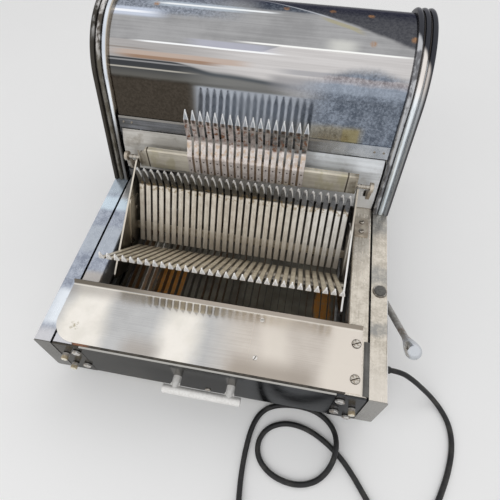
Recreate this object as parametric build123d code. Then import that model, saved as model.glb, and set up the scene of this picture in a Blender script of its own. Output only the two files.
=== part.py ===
from build123d import *
import os
from math import cos, radians, sin, tan

os.makedirs("parts", exist_ok=True)

# A bench bread slicer, in millimetres. It is modelled with X to the right of the casing's middle, Y to the
# rear of the deck's front edge and Z above the deck, and it is saved standing on its feet about the origin.

# Combs of the loaf trough and of the hold-down
PITCH = 12.7
BACK_FINGERS = 31
HOLD_FINGERS = 17
FINGER_WIDTH = 8.8
FINGER_SHEET = 2.5
FINGER_BEND = 3.0
FINGER_POINT = 1.6
BACK_FOOT = (251.0, -47.0)
BACK_LEAN = 30.1
BACK_LENGTH = 114.7
BACK_TIP_LEAN = -1.5
BACK_TIP = 42.0
BACK_SHOULDER = 0.45
FRONT_FOOT = (239.5, -48.2)
FRONT_RISE = 46.9
FRONT_LENGTH = 164.8
FRONT_TIP = 15.2
CROSSBAR_WIDTH = 16.0
CROSSBAR_SHEET = 6.0
BACK_BAR_AT = 30.0
FRONT_BAR_AT = 60.0

# Trough ends, shaft and hand lever
END_GAP = 6.1
GUIDE_SHEET = 2.0
END_PLATE = 3.0
SHAFT_AT = (228.0, -80.0)
SHAFT_RADIUS = 7.0
SHAFT_BOSS = 13.0
ARM_FRONT = (154.0, -28.0)
ARM_FRONT_RADIUS = 7.0
NOSE_RADIUS = 8.0
NOSE_CLEARANCE = 0.4
NOSE_DROP = -2.0
GUIDE_WIDTH = 46.0
GUIDE_LENGTH = 96.0
GUIDE_CORNER = 9.0
GUIDE_MIDDLE = 44.0
BUSH_RADIUS = 12.0
BUSH_LENGTH = 11.0
RUNNING_FIT = 0.05
LEVER_HUB_RADIUS = 15.0
LEVER_HUB = 12.0
LEVER_GAP = 2.0
LEVER_BALL_AT = (70.0, 40.0)
LEVER_SPREAD = 17.0
LEVER_ROOT = 6.5
LEVER_NECK = 5.2
LEVER_BALL = 12.0
LEVER_TEAR = 46.0

# Casing
WELL_MARGIN = 8.0
RAIL_GAP = 6.0
RAIL_WIDTH = 6.0
RAIL_SPACE = 8.0
GUIDE_ROOM = 13.0
FRAME_SHEET = 2.0
SLIT = 2.5
COVER_WIDTH = 28.5
COVER_SHEET = 1.5
COVER_BEND = 4.0
FRAME_BEND = 3.0
CASE_DEPTH = 638.0
CASE_HEIGHT = 110.0
PANEL_SHEET = 2.0
FRONT_SHEET = 3.0
FRONT_GAP = 1.0
WELL_FRONT = 120.0
SKIRT_REAR = 366.0
SKIRT_DEPTH = 36.0
DECK_FLANGE_REAR = 406.0
FOOT_HEIGHT = 24.0
FOOT_RADIUS = 20.0
FOOT_TREAD = 16.0
FOOT_SHOULDER = 19.0
FOOT_INSET = 38.0
BEAM_DEPTH = 40.0
BEAM_SHEET = 3.0
VENTS = 9
VENT_PITCH = 34.0
VENT_LENGTH = 50.0
VENT_WIDTH = 6.0

# Deck fittings
SHELF_LEFT_INSET = 23.0
SHELF_RIGHT_INSET = 10.0
SHELF_FRONT = 5.5
SHELF_REAR = 108.0
SHELF_SHEET = 1.5
LIP_RISE = 6.5
LIP_RUN = 5.0
SHELF_CORNER = 40.0
SHELF_BEND = 2.5
RAIL_HEIGHT = 24.0
RAIL_DEPTH = 22.0
STRIP_WIDTH = 9.0
STRIP_LENGTH = 86.0
BRACKET_WIDTH = 26.0
BRACKET_LENGTH = 44.0
BRACKET_SHEET = 3.0
BRACKET_AT = 321.0
BRACKET_SCREWS = 22.0
SCREW_HEAD = 5.0
SCREW_CROWN = 0.6
SCREW_RISE = 2.2
SCREW_SLOT = 1.6
SCREW_TURN = 25.0
SCREW_INSET = 9.0
SHELF_SCREWS = (27.0, 84.0)
SHELF_SCREW_HEAD = 7.5
BOLT_HEAD = 13.0
BOLT_RISE = 5.0
STANDOFF_RADIUS = 5.6
STANDOFF_LENGTH = 12.0
# Heights of the front bolts and standoffs, as shares of the casing's height below the deck
INNER_BOLTS = (0.2, 0.72)
OUTER_BOLT = 0.9
LEFT_STANDOFFS = (0.35, 0.76)
RIGHT_STANDOFF = 0.47
BUTTON_AT = 187.0
BUTTON_RADIUS = 9.5
BUTTON_GAP = 0.3
BUTTON_RISE = 5.0
BUTTON_BODY = 15.0
BEZEL_WALL = 0.8
BEZEL_RIM = 12.5
BEZEL_RISE = 2.5
BEZEL_DEPTH = 25.0

# Back plate and hold-down
BACK_PLATE_SHEET = 1.5
BACK_PLATE_FOOT = 370.0
BACK_PLATE_FLANGE = 14.0
UPSTAND = 24.0
FACET_TOP = (381.0, 84.0)
BACK_PLATE_TOP = (391.0, 108.0)
WINDOW = 14.0
WINDOW_HEIGHT = 39.0
LUG_SHEET = 6.0
LUG_ARM = 10.0
LUG_EYE = 9.0
LUG_POST = 396.0
HINGE_LINE = (353.0, 76.0)
PIN_RADIUS = 4.0
BAR_FRONT = 346.0
BAR_LOW = 60.0
BAR_HIGH = 103.0
BAR_DEPTH = 9.0
BAR_SHEET = 2.0
BAR_END = 6.6
BAR_CORNER = 14.0
EAR_SHEET = 3.0
EAR_RADIUS = 10.0
HOLD_FOOT = 62.0
HOLD_STRAIGHT = 101.0
HOLD_BEND_AT = (358.5, 130.0)
HOLD_NECK_AT = (354.5, 176.0)
HOLD_TIP_AT = (357.0, 195.0)
HOLD_WIDTH = 8.4
HOLD_SHEET = 2.0
RIVET_RADIUS = 2.2
RIVET_RISE = 1.2
HOLD_RIVETS = (69.5, 92.5)
HOLD_RIVET_RADIUS = 1.5
HOLD_RIVET_RISE = 0.7

# Hood
HOOD_FOOT = 357.0
HOOD_LEAN = 12.1
HOOD_ROUND_RATIO = 0.427
HOOD_GAP = 1.0
TRIM_WIDTH = 30.0
TRIM_BASE = 4.0
RIBS = 3
RIB_RADIUS = 4.5
HOOD_SHEET = 1.5
HOOD_TUCK = 15.0
HOOD_EDGE = 112.0
CHEEK_SHEET = 2.0
STRIP_LOW = 113.0
STRIP_HIGH = 136.0
STRIP_SHEET = 2.0
STRIP_RIVETS = (222.0, 238.0)
HINGE_AT = 170.0
HINGE_WIDTH = 40.0
HINGE_BARREL = 5.0
HINGE_PIN = 2.0
HINGE_LEAF = 2.0
HINGE_DROP = 42.0
HINGE_OFFSET = 6.0
HINGE_KNUCKLE = 13.0
HINGE_PLAY = 0.5

# Crumb drawer
DRAWER_TOP = -3.0
DRAWER_FLOOR_GAP = 0.5
TRAY_SHEET = 1.0
TRAY_WALL = 9.5
TRAY_CLEARANCE = 20.0
TRAY_INSET = 1.0
PULL_AT = -2.5
PULL_HALF = 64.0
PULL_POSTS = 44.7
PULL_OUT = 22.5
PULL_RADIUS = 7.0
PULL_EDGE = 1.5
POST_RADIUS = 6.8
POST_FLARE = 11.0
DRAWER_SCREW_RISE = 9.5

# Blades, their two frames and the crank drive
BLADE_SHEET = 0.9
BLADE_TOP = -50.0
BLADE_HEIGHT = 16.0
OUTER_FRONT = 52.0
OUTER_REACH = 108.0
INNER_FRONT = 102.0
INNER_REACH = 158.0
BAR_THICK = 12.0
BAR_OVER = 6.0
SLOT_WIDTH = 6.0
RAIL_RISE = 14.0
GUIDE_FROM_FRONT = 38.0
GUIDE_FROM_REAR = 52.0
GUIDE_BLOCK = 26.0
GUIDE_BASE = 16.0
GUIDE_PLAY = 0.5
CRANK_INSET = 78.0
CRANK_HEIGHT = -20.0
CRANK_RADIUS = 8.0
THROW = 12.5
ECCENTRIC_RADIUS = 24.0
ROD_RING = 34.0
ROD_SHEET = 8.0
ROD_HEIGHT = 10.0
ROD_EYE = 9.0
ROD_BLADE = 9
OUTER_ROD = 88.0
INNER_ROD = 144.0
CHEEK_PLAY = 1.0
CLEVIS_SHEET = 3.0
CLEVIS_RADIUS = 9.0
BEARING_AT = 80.0
BEARING_HEIGHT = 50.0
BEARING_WIDTH = 22.0
BEARING_RADIUS = 15.0
PULLEY_AT = -160.0
PULLEY_WIDTH = 20.0
CRANK_PULLEY = 45.0
MOTOR_PULLEY = 18.0
BELT_WIDTH = 8.0
BELT_SHEET = 4.0
BELT_GAP = 0.3
MOTOR_RISE = 118.0
MOTOR_RADIUS = 56.0
MOTOR_LENGTH = 170.0
MOTOR_SHAFT = 6.0
MOTOR_FOOT = 70.0
MOTOR_PAD = 4.0
MOTOR_GAP = 12.0
MOTOR_SOCKET = 20.0
BRIDGE_SHEET = 4.0
BRIDGE_DEPTH = 116.0
BRIDGE_DROP = 20.0
BRIDGE_SLOT = 110.0

# Power cord, in the modelling directions, from the gland along the floor to the plug
CORD_RADIUS = 4.5
GLAND_AT = (80.0, -72.0)
GLAND_RADIUS = 9.0
GLAND_RIM = 11.5
GLAND_LENGTH = 22.0
PLUG_RADIUS = 11.5
PLUG_LENGTH = 42.0
PLUG_PIN = 2.4
PLUG_PIN_LENGTH = 17.0
PLUG_PIN_SPREAD = 6.4

# Places that follow from the sizes above
comb_half = (BACK_FINGERS - 1) / 2 * PITCH + FINGER_WIDTH / 2
plate_inner = comb_half + END_GAP + GUIDE_SHEET
plate_outer = plate_inner + END_PLATE
well_edge = plate_outer + WELL_MARGIN
inner_rail = plate_outer + RAIL_GAP
outer_rail = inner_rail + RAIL_WIDTH + RAIL_SPACE
frame_inner = outer_rail + RAIL_WIDTH + GUIDE_ROOM
frame_outer = frame_inner + FRAME_SHEET
cover_inner = frame_outer + SLIT
case_half = cover_inner + COVER_WIDTH
deck_height = CASE_HEIGHT + FOOT_HEIGHT
shelf_left = case_half - SHELF_LEFT_INSET
shelf_right = frame_outer - SHELF_RIGHT_INSET
screw_line = shelf_right - SCREW_INSET
frame_rear = CASE_DEPTH - PANEL_SHEET
bottom_inner = plate_inner - 4 * FRAME_SHEET
drawer_half = plate_inner
cord_floor = CORD_RADIUS - deck_height
plug_axis = PLUG_RADIUS - deck_height
button_x = cover_inner + COVER_WIDTH / 2
trim_inset = RIB_RADIUS + TRIM_BASE
sheet_inset = trim_inset + HOOD_SHEET
trim_inner = case_half - TRIM_WIDTH
hinge_y = CASE_DEPTH + HINGE_OFFSET
lever_outer = case_half + LEVER_GAP + LEVER_HUB / 2 + LEVER_SPREAD + LEVER_BALL
pull_front = -PULL_OUT - PULL_RADIUS
hinge_rear = hinge_y + HINGE_BARREL
nose_at = (HINGE_LINE[0] - PIN_RADIUS - NOSE_CLEARANCE - NOSE_RADIUS, HINGE_LINE[1] + NOSE_DROP)
blade_low = BLADE_TOP - BLADE_HEIGHT
rail_low = blade_low - BAR_OVER + 2
rail_high = rail_low + RAIL_RISE
crank_at = (CASE_DEPTH - CRANK_INSET, CRANK_HEIGHT)
outer_rear = crank_at[0] - OUTER_REACH
inner_rear = crank_at[0] - INNER_REACH
outer_pivot = crank_at[0] - OUTER_ROD
inner_pivot = crank_at[0] - INNER_ROD
motor_at = (crank_at[0], crank_at[1] + MOTOR_RISE)
bridge_top = motor_at[1] - MOTOR_RADIUS - MOTOR_PAD
beam_top = CRANK_HEIGHT - BEARING_HEIGHT
hood_radius = HOOD_ROUND_RATIO * (CASE_DEPTH - HOOD_FOOT)
drawer_low = -CASE_HEIGHT + FRAME_SHEET + DRAWER_FLOOR_GAP
tray_rear = crank_at[0] - BEAM_DEPTH / 2 - TRAY_CLEARANCE
pull_height = -CASE_HEIGHT / 2
place = Pos((case_half - lever_outer) / 2, -(pull_front + hinge_rear) / 2, deck_height)

CORD_ROUTE = [
    (case_half + GLAND_LENGTH, *GLAND_AT),
    (case_half + GLAND_LENGTH + 19, *GLAND_AT),
    (342, 73, -82),
    (363, 69, -102),
    (382, 66, -122),
    (400, 51, cord_floor),
    (412, 29, cord_floor),
    (416, 5, cord_floor),
    (414, -20, cord_floor),
    (406, -50, cord_floor),
    (395, -78, cord_floor),
    (382, -106, cord_floor),
    (362, -130, cord_floor),
    (334, -143, cord_floor),
    (306, -139, cord_floor),
    (286, -123, cord_floor),
    (271, -103, cord_floor),
    (255, -82, cord_floor),
    (236, -61, cord_floor),
    (211, -42, cord_floor),
    (183, -28, cord_floor),
    (155, -22, cord_floor),
    (130, -25, cord_floor),
    (108, -38, cord_floor),
    (97, -60, cord_floor),
    (101, -84, cord_floor),
    (120, -102, cord_floor),
    (145, -111, cord_floor),
    (172, -112, cord_floor),
    (197, -103, cord_floor),
    (214, -86, cord_floor + 3),
    (223, -66, cord_floor + 11),
    (226, -42, cord_floor + 11),
    (221, -20, cord_floor + 3),
    (207, -4, cord_floor),
    (186, 6, cord_floor),
    (161, 9, cord_floor),
    (134, 7, cord_floor),
    (108, -1, cord_floor),
    (91, -18, cord_floor),
    (83, -42, cord_floor),
    (80, -68, cord_floor),
    (79, -96, cord_floor),
    (80, -124, cord_floor),
    (83, -152, cord_floor + 3),
    (86, -178, plug_axis),
    (88, -202, plug_axis),
]


def block(x_span, y_span, z_span):
    """A box between pairs of limits."""
    middle = [(low + high) / 2 for low, high in (x_span, y_span, z_span)]
    return Pos(*middle) * Box(x_span[1] - x_span[0], y_span[1] - y_span[0], z_span[1] - z_span[0])


def along_x(outline, start, end):
    """An outline drawn in Y and Z, made into a plate between two places on X."""
    return extrude(Plane.YZ.offset(start) * outline, amount=end - start)


def along_y(outline, start, end):
    """An outline drawn in X and Z, made into a plate between two places on Y."""
    return extrude(Plane.XZ.offset(-start) * outline, amount=start - end)


def bar_x(at, radius, start, end):
    """A round bar along X through a point of the Y and Z plane."""
    return along_x(Pos(*at) * Circle(radius), start, end)


def bar_y(at, radius, start, end):
    """A round bar along Y through a point of the X and Z plane."""
    return along_y(Pos(*at) * Circle(radius), start, end)


def folded(points, sheet, bend, side):
    """The outline of a sheet folded along points, with its thickness on one side of them."""
    return make_face(offset(FilletPolyline(*points, radius=bend), amount=sheet, side=side).edges())


def polygon(*points):
    """A face between corners."""
    return make_face(Polyline(*points, close=True))


def hull(*circles):
    """The outline of a band pulled tight round circles."""
    return make_hull([edge for circle in circles for edge in circle.edges()])


def both_hands(right):
    """A right-hand piece and its mirror image."""
    return Compound([*right.solids(), *mirror(right, about=Plane.YZ).solids()])


def group(pieces):
    """Separate solids that share one node."""
    return Compound([solid for piece in pieces for solid in piece.solids()])


def save(name, shape):
    export_step(place * shape, f"parts/{name}.step")


def step_along(start, angle, length):
    """The point a length away in the Y and Z plane, at an angle above the rear."""
    return (start[0] + length * cos(radians(angle)), start[1] + length * sin(radians(angle)))


# Side frames: each is one folded sheet with the deck, the well's skirt, the wall and a bottom flange.
def side_frame():
    section = folded(
        [
            (bottom_inner, -CASE_HEIGHT),
            (frame_outer, -CASE_HEIGHT),
            (frame_outer, 0),
            (well_edge, 0),
            (well_edge, -SKIRT_DEPTH),
        ],
        FRAME_SHEET,
        FRAME_BEND,
        Side.LEFT,
    )
    frame = along_y(section, FRONT_SHEET, frame_rear)
    deck = (-SKIRT_DEPTH, 0)
    inside = (well_edge - 1, frame_inner)
    frame -= block(inside, (DECK_FLANGE_REAR, frame_rear), deck)
    skirt = (-SKIRT_DEPTH, -FRAME_SHEET - FRAME_BEND)
    edge = (well_edge - 1, well_edge + FRAME_SHEET + FRAME_BEND)
    frame -= block(edge, (FRONT_SHEET, WELL_FRONT), skirt)
    frame -= block(edge, (SKIRT_REAR, DECK_FLANGE_REAR), skirt)
    return frame - bar_x(SHAFT_AT, BUSH_RADIUS, frame_inner - 1, frame_outer + 1)


right_frame = side_frame()
save("right_side_frame", right_frame)
save("left_side_frame", mirror(right_frame, about=Plane.YZ))


# Covers: a folded sheet along each side, closed in front. The right one carries the button, lever and cord.
def side_cover():
    section = folded(
        [(cover_inner, 0), (case_half, 0), (case_half, -CASE_HEIGHT), (frame_outer, -CASE_HEIGHT)],
        COVER_SHEET,
        COVER_BEND,
        Side.RIGHT,
    )
    corners = polygon(
        (cover_inner, 0), (case_half, 0), (case_half, -CASE_HEIGHT), (cover_inner, -CASE_HEIGHT)
    )
    front = fillet(corners.vertices().sort_by(Axis.X)[-2:], COVER_BEND)
    return along_y(section, 0, frame_rear) + along_y(front, 0, COVER_SHEET)


def right_cover(cover):
    wall = (case_half - COVER_SHEET - 1, case_half + 1)
    cover -= bar_x(SHAFT_AT, BUSH_RADIUS, *wall)
    cover -= bar_x(GLAND_AT, GLAND_RADIUS, *wall)
    barrel = BUTTON_RADIUS + BUTTON_GAP + BEZEL_WALL
    return cover - Pos(button_x, BUTTON_AT, 0) * Cylinder(barrel, 4 * COVER_SHEET)


plain_cover = side_cover()
save("left_cover", mirror(plain_cover, about=Plane.YZ))
save("right_cover", right_cover(plain_cover))


# Rear panel with its row of cooling slots, and the beam across the bottom that carries the crank.
def rear_panel():
    height = CASE_HEIGHT - HOOD_GAP
    outline = Pos(0, -HOOD_GAP - height / 2) * RectangleRounded(2 * case_half, height, COVER_BEND)
    first = -(VENTS - 1) / 2 * VENT_PITCH
    for number in range(VENTS):
        middle = Pos(first + number * VENT_PITCH, -CASE_HEIGHT / 2)
        outline -= middle * Rot(0, 0, 90) * SlotOverall(VENT_LENGTH, VENT_WIDTH)
    return along_y(outline, frame_rear, CASE_DEPTH)


def rear_beam():
    front = crank_at[0] - BEAM_DEPTH / 2
    rear = crank_at[0] + BEAM_DEPTH / 2
    low = -CASE_HEIGHT + FRAME_SHEET
    corners = [(front, low), (front, beam_top), (rear, beam_top), (rear, low)]
    section = folded(corners, BEAM_SHEET, FRAME_BEND + 1, Side.RIGHT)
    half = frame_inner - FRAME_BEND + FRAME_SHEET
    return along_x(section, -half, half)


save("rear_panel", rear_panel())
save("rear_beam", rear_beam())


# Front plates beside the drawer, their bolts and standoffs, and the rail under the shelf.
def front_plate():
    return block((drawer_half + FRONT_GAP, frame_outer), (0, FRONT_SHEET), (-CASE_HEIGHT, DRAWER_TOP))


def hex_bolt(at):
    head = along_y(Pos(*at) * RegularPolygon(BOLT_HEAD / 2, 6, major_radius=False), -BOLT_RISE, 0)
    return chamfer(head.faces().sort_by(Axis.Y)[0].edges(), BOLT_RISE / 6)


def standoff(at):
    return chamfer(bar_y(at, STANDOFF_RADIUS, -STANDOFF_LENGTH, 0).edges().sort_by(Axis.Y)[0], 1)


def front_bolts():
    inner = drawer_half + FRONT_GAP + BOLT_HEAD / 2 + 1
    outer = frame_outer - STANDOFF_RADIUS - BOLT_HEAD / 2
    bolts = [(hand * inner, share) for hand in (-1, 1) for share in INNER_BOLTS]
    bolts.append((outer, OUTER_BOLT))
    posts = [(-outer, share) for share in LEFT_STANDOFFS]
    posts.append((outer, RIGHT_STANDOFF))
    heads = [hex_bolt((x, -CASE_HEIGHT * share)) for x, share in bolts]
    return group(heads + [standoff((x, -CASE_HEIGHT * share)) for x, share in posts])


def front_rail():
    near = FRONT_SHEET
    section = folded(
        [(near + RAIL_DEPTH, -RAIL_HEIGHT), (near, -RAIL_HEIGHT), (near, 0), (near + RAIL_DEPTH, 0)],
        FRAME_SHEET,
        FRAME_BEND,
        Side.RIGHT,
    )
    return along_x(section, -well_edge, well_edge)


save("front_plates", both_hands(front_plate()))
save("front_bolts", front_bolts())
save("front_rail", front_rail())


# Feet: turned rubber cones under the bottom flanges.
def feet():
    profile = polygon(
        (0, 0),
        (FOOT_TREAD, 0),
        (FOOT_RADIUS, FOOT_SHOULDER),
        (FOOT_RADIUS, FOOT_HEIGHT),
        (0, FOOT_HEIGHT),
    )
    foot = revolve(Plane.XZ * profile, axis=Axis.Z)
    across = frame_outer - FOOT_RADIUS - FRAME_BEND
    places = [(x, y) for x in (-across, across) for y in (FOOT_INSET, frame_rear - FOOT_INSET)]
    return group([Pos(x, y, -deck_height) * foot for x, y in places])


save("feet", feet())


# Front shelf: a polished flat sheet turned up at the rear, with one rounded corner.
def front_shelf():
    top = SHELF_SHEET
    section = folded(
        [(SHELF_FRONT, top), (SHELF_REAR, top), (SHELF_REAR + LIP_RUN, top + LIP_RISE)],
        SHELF_SHEET,
        SHELF_BEND,
        Side.RIGHT,
    )
    shelf = along_x(section, -shelf_left, shelf_right)
    square = Pos(-shelf_left, SHELF_FRONT) * Rectangle(SHELF_CORNER, SHELF_CORNER, align=Align.MIN)
    corner = square - Pos(-shelf_left + SHELF_CORNER, SHELF_FRONT + SHELF_CORNER) * Circle(SHELF_CORNER)
    return shelf - extrude(Pos(0, 0, -top) * corner, amount=3 * top)


def shelf_strip():
    start = shelf_right + 2 * SHELF_SHEET
    return block((start, start + STRIP_WIDTH), (FRONT_SHEET + 1, STRIP_LENGTH + 4), (0, SHELF_SHEET))


def deck_bracket():
    plate = Pos(screw_line, BRACKET_AT, 0) * RectangleRounded(BRACKET_WIDTH, BRACKET_LENGTH, 3)
    return chamfer(extrude(plate, amount=BRACKET_SHEET).faces().sort_by(Axis.Z)[-1].edges(), 0.8)


def slotted_screw(x, y, seat, radius=SCREW_HEAD):
    rim = SCREW_RISE / 2
    crown = radius * SCREW_CROWN
    dome = polygon((0, 0), (radius, 0), (radius, rim), (crown, SCREW_RISE), (0, SCREW_RISE))
    head = revolve(Plane.XZ * dome, axis=Axis.Z)
    half = SCREW_SLOT / 2
    slot = block((-radius, radius), (-half, half), (rim, 2 * SCREW_RISE))
    return Pos(x, y, seat) * Rot(0, 0, SCREW_TURN) * (head - slot)


def deck_screws():
    shelf = [slotted_screw(screw_line, y, SHELF_SHEET, SHELF_SCREW_HEAD) for y in SHELF_SCREWS]
    rows = (BRACKET_AT - BRACKET_SCREWS / 2, BRACKET_AT + BRACKET_SCREWS / 2)
    return group(shelf + [slotted_screw(screw_line, y, BRACKET_SHEET) for y in rows])


save("front_shelf", front_shelf())
save("shelf_strip", shelf_strip())
save("deck_bracket", deck_bracket())
save("deck_screws", deck_screws())


# Start button: a threaded bezel in the right cover, with a cap that is pushed down inside it.
def turned(profile):
    return Pos(button_x, BUTTON_AT, 0) * revolve(Plane.XZ * profile, axis=Axis.Z)


def button_bezel():
    bore = BUTTON_RADIUS + BUTTON_GAP
    barrel = bore + BEZEL_WALL
    profile = polygon(
        (0, -BEZEL_DEPTH),
        (barrel, -BEZEL_DEPTH),
        (barrel, 0),
        (BEZEL_RIM, 0),
        (BEZEL_RIM - 1, BEZEL_RISE),
        (bore, BEZEL_RISE),
        (bore, 2 - BEZEL_DEPTH),
        (0, 2 - BEZEL_DEPTH),
    )
    return turned(profile)


def start_button():
    profile = polygon(
        (0, -BUTTON_BODY),
        (BUTTON_RADIUS, -BUTTON_BODY),
        (BUTTON_RADIUS, BUTTON_RISE - 1),
        (BUTTON_RADIUS - 1, BUTTON_RISE),
        (0, BUTTON_RISE),
    )
    return turned(profile)


save("button_bezel", button_bezel())
save("start_button", start_button())


# Back plate: a folded sheet behind the trough with a window at each end for the hold-down's lugs.
def back_plate():
    section = folded(
        [
            (BACK_PLATE_FOOT + BACK_PLATE_FLANGE, 0),
            (BACK_PLATE_FOOT, 0),
            (BACK_PLATE_FOOT, UPSTAND),
            FACET_TOP,
            BACK_PLATE_TOP,
        ],
        BACK_PLATE_SHEET,
        FRAME_BEND,
        Side.RIGHT,
    )
    plate = along_x(section, -frame_inner, frame_inner)
    for hand in (-1, 1):
        window = Pos(hand * lug_middle(), WINDOW_HEIGHT) * RectangleRounded(WINDOW, WINDOW, 2)
        plate -= along_y(window, BACK_PLATE_FOOT - 2, FACET_TOP[0])
    return plate


def lug_middle():
    return frame_inner - WINDOW / 2 - 2 * LUG_SHEET + LUG_SHEET / 2


def pivot_lug():
    arm = offset(
        FilletPolyline(
            (LUG_POST, 0),
            (LUG_POST, WINDOW_HEIGHT),
            (HINGE_LINE[0] + LUG_ARM, WINDOW_HEIGHT),
            HINGE_LINE,
            radius=LUG_ARM / 2 + 1,
        ),
        amount=LUG_ARM / 2,
        side=Side.BOTH,
    )
    outline = make_face(arm.edges()) + Pos(*HINGE_LINE) * Circle(LUG_EYE)
    outline -= Pos(LUG_POST, -LUG_ARM / 2) * Rectangle(2 * LUG_ARM, LUG_ARM)
    outline -= Pos(*HINGE_LINE) * Circle(PIN_RADIUS)
    start = lug_middle() - LUG_SHEET / 2
    return along_x(outline, start, start + LUG_SHEET)


def pivot_pin():
    start = comb_half + BAR_END - 2 * EAR_SHEET
    return bar_x(HINGE_LINE, PIN_RADIUS, start, lug_middle() + LUG_SHEET / 2)


save("back_plate", back_plate())
save("pivot_lugs", both_hands(pivot_lug()))
save("pivot_pins", both_hands(pivot_pin()))


# Hold-down: a channel with an ear at each end that turns on the pins, and a row of riveted fingers.
def hold_down_bar():
    section = folded(
        [
            (BAR_FRONT + BAR_DEPTH, BAR_HIGH),
            (BAR_FRONT, BAR_HIGH),
            (BAR_FRONT, BAR_LOW),
            (BAR_FRONT + BAR_DEPTH, BAR_LOW),
        ],
        BAR_SHEET,
        FRAME_BEND,
        Side.LEFT,
    )
    half = comb_half + BAR_END
    ear = hull(
        Pos(*HINGE_LINE) * Circle(EAR_RADIUS),
        Pos(BAR_FRONT + BAR_SHEET, BAR_HIGH - BAR_SHEET) * Circle(BAR_SHEET),
        Pos(BAR_FRONT + BAR_SHEET, BAR_LOW + BAR_SHEET) * Circle(BAR_SHEET),
    )
    ear -= Pos(*HINGE_LINE) * Circle(PIN_RADIUS + RUNNING_FIT)
    bar = along_x(section, -half, half)
    bar += along_x(ear, half - EAR_SHEET, half) + along_x(ear, -half, EAR_SHEET - half)
    corner = polygon((-half, BAR_HIGH - BAR_CORNER), (-half, BAR_HIGH), (BAR_CORNER - half, BAR_HIGH))
    return bar - along_y(corner, BAR_FRONT, BAR_FRONT + 2 * BAR_DEPTH)


def pointed(width, low, shoulder, tip):
    """The front view of a finger whose sides are cut straight to a narrow point."""
    half = width / 2
    end = FINGER_POINT / 2
    return polygon(
        (-half, low), (half, low), (half, shoulder), (end, tip), (-end, tip), (-half, shoulder)
    )


def rounded_point(width, low, shoulder, tip):
    """The front view of a finger whose sides curve to a narrow point."""
    half = width / 2
    end = FINGER_POINT / 2
    side = Spline((half, shoulder), (end, tip), tangents=((0, 1), (-0.55, 1)))
    left = Spline((-end, tip), (-half, shoulder), tangents=((-0.55, -1), (0, -1)))
    lines = [
        Line((-half, low), (half, low)),
        Line((half, low), (half, shoulder)),
        side,
        Line((end, tip), (-end, tip)),
        left,
        Line((-half, shoulder), (-half, low)),
    ]
    return make_face(lines)


def finger(path, sheet, side, front_view):
    """A folded strip cut to its front view."""
    width = front_view.bounding_box().size.X
    strip = along_x(folded(path, sheet, FINGER_BEND, side), -width / 2, width / 2)
    span = strip.bounding_box()
    return strip & along_y(front_view, span.min.Y - 1, span.max.Y + 1)


def comb_row(tooth, count):
    first = -(count - 1) / 2 * PITCH
    return group([Pos(first + number * PITCH, 0, 0) * tooth for number in range(count)])


def hold_down_fingers():
    foot = (BAR_FRONT, HOLD_FOOT)
    path = [foot, (BAR_FRONT, HOLD_STRAIGHT), HOLD_BEND_AT, HOLD_NECK_AT, HOLD_TIP_AT]
    view = pointed(HOLD_WIDTH, HOLD_FOOT - 1, HOLD_NECK_AT[1], HOLD_TIP_AT[1] - 0.5)
    return comb_row(finger(path, HOLD_SHEET, Side.LEFT, view), HOLD_FINGERS)


def rivet(radius, rise):
    return Cone(radius, radius * 0.6, rise, align=(Align.CENTER, Align.CENTER, Align.MIN))


def hold_down_rivets():
    head = Pos(0, BAR_FRONT - HOLD_SHEET, 0) * Rot(90, 0, 0) * rivet(HOLD_RIVET_RADIUS, HOLD_RIVET_RISE)
    pair = [Pos(0, 0, height) * head for height in HOLD_RIVETS]
    return comb_row(group(pair), HOLD_FINGERS)


save("hold_down_bar", hold_down_bar())
save("hold_down_fingers", hold_down_fingers())
save("hold_down_rivets", hold_down_rivets())


# Trough: two combs of pointed fingers that meet in a V, on crossbars between two end plates.
def back_path():
    kink = step_along(BACK_FOOT, 90 - BACK_LEAN, BACK_LENGTH)
    return [BACK_FOOT, kink, step_along(kink, 90 - BACK_TIP_LEAN, BACK_TIP)]


def front_path():
    kink = step_along(FRONT_FOOT, 180 - FRONT_RISE, FRONT_LENGTH)
    return [FRONT_FOOT, kink, step_along(kink, 90, FRONT_TIP)]


def back_comb():
    foot, kink, tip = back_path()
    shoulder = kink[1] + BACK_SHOULDER * BACK_TIP
    view = rounded_point(FINGER_WIDTH, foot[1] - 2 * FINGER_SHEET, shoulder, tip[1] - 0.5)
    return comb_row(finger(back_path(), FINGER_SHEET, Side.RIGHT, view), BACK_FINGERS)


def front_comb():
    foot, kink, tip = front_path()
    view = pointed(FINGER_WIDTH, foot[1] - 2 * FINGER_SHEET, kink[1], tip[1] - 0.5)
    return comb_row(finger(front_path(), FINGER_SHEET, Side.LEFT, view), BACK_FINGERS)


def crossbar(foot, angle, at, under, half):
    """A flat bar on the under side of the fingers, at a distance from their foot."""
    middle = step_along(foot, angle, at)
    centre = step_along(middle, under, FINGER_SHEET + CROSSBAR_SHEET / 2)
    outline = Pos(*centre) * Rot(0, 0, angle) * RectangleRounded(CROSSBAR_WIDTH, CROSSBAR_SHEET, 1)
    return along_x(outline, -half, half)


def comb_crossbars():
    back = crossbar(BACK_FOOT, 90 - BACK_LEAN, BACK_BAR_AT, -BACK_LEAN, plate_inner - GUIDE_SHEET)
    front = crossbar(FRONT_FOOT, 180 - FRONT_RISE, FRONT_BAR_AT, 270 - FRONT_RISE, plate_inner)
    return group([back, front])


def end_plate():
    outline = hull(
        Pos(*SHAFT_AT) * Circle(SHAFT_BOSS),
        Pos(*ARM_FRONT) * Circle(ARM_FRONT_RADIUS),
        Pos(*nose_at) * Circle(NOSE_RADIUS),
    )
    outline -= Pos(*SHAFT_AT) * Circle(SHAFT_RADIUS)
    return along_x(outline, plate_inner, plate_outer)


def guide_centre():
    return step_along(BACK_FOOT, 90 - BACK_LEAN, GUIDE_MIDDLE)


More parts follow.
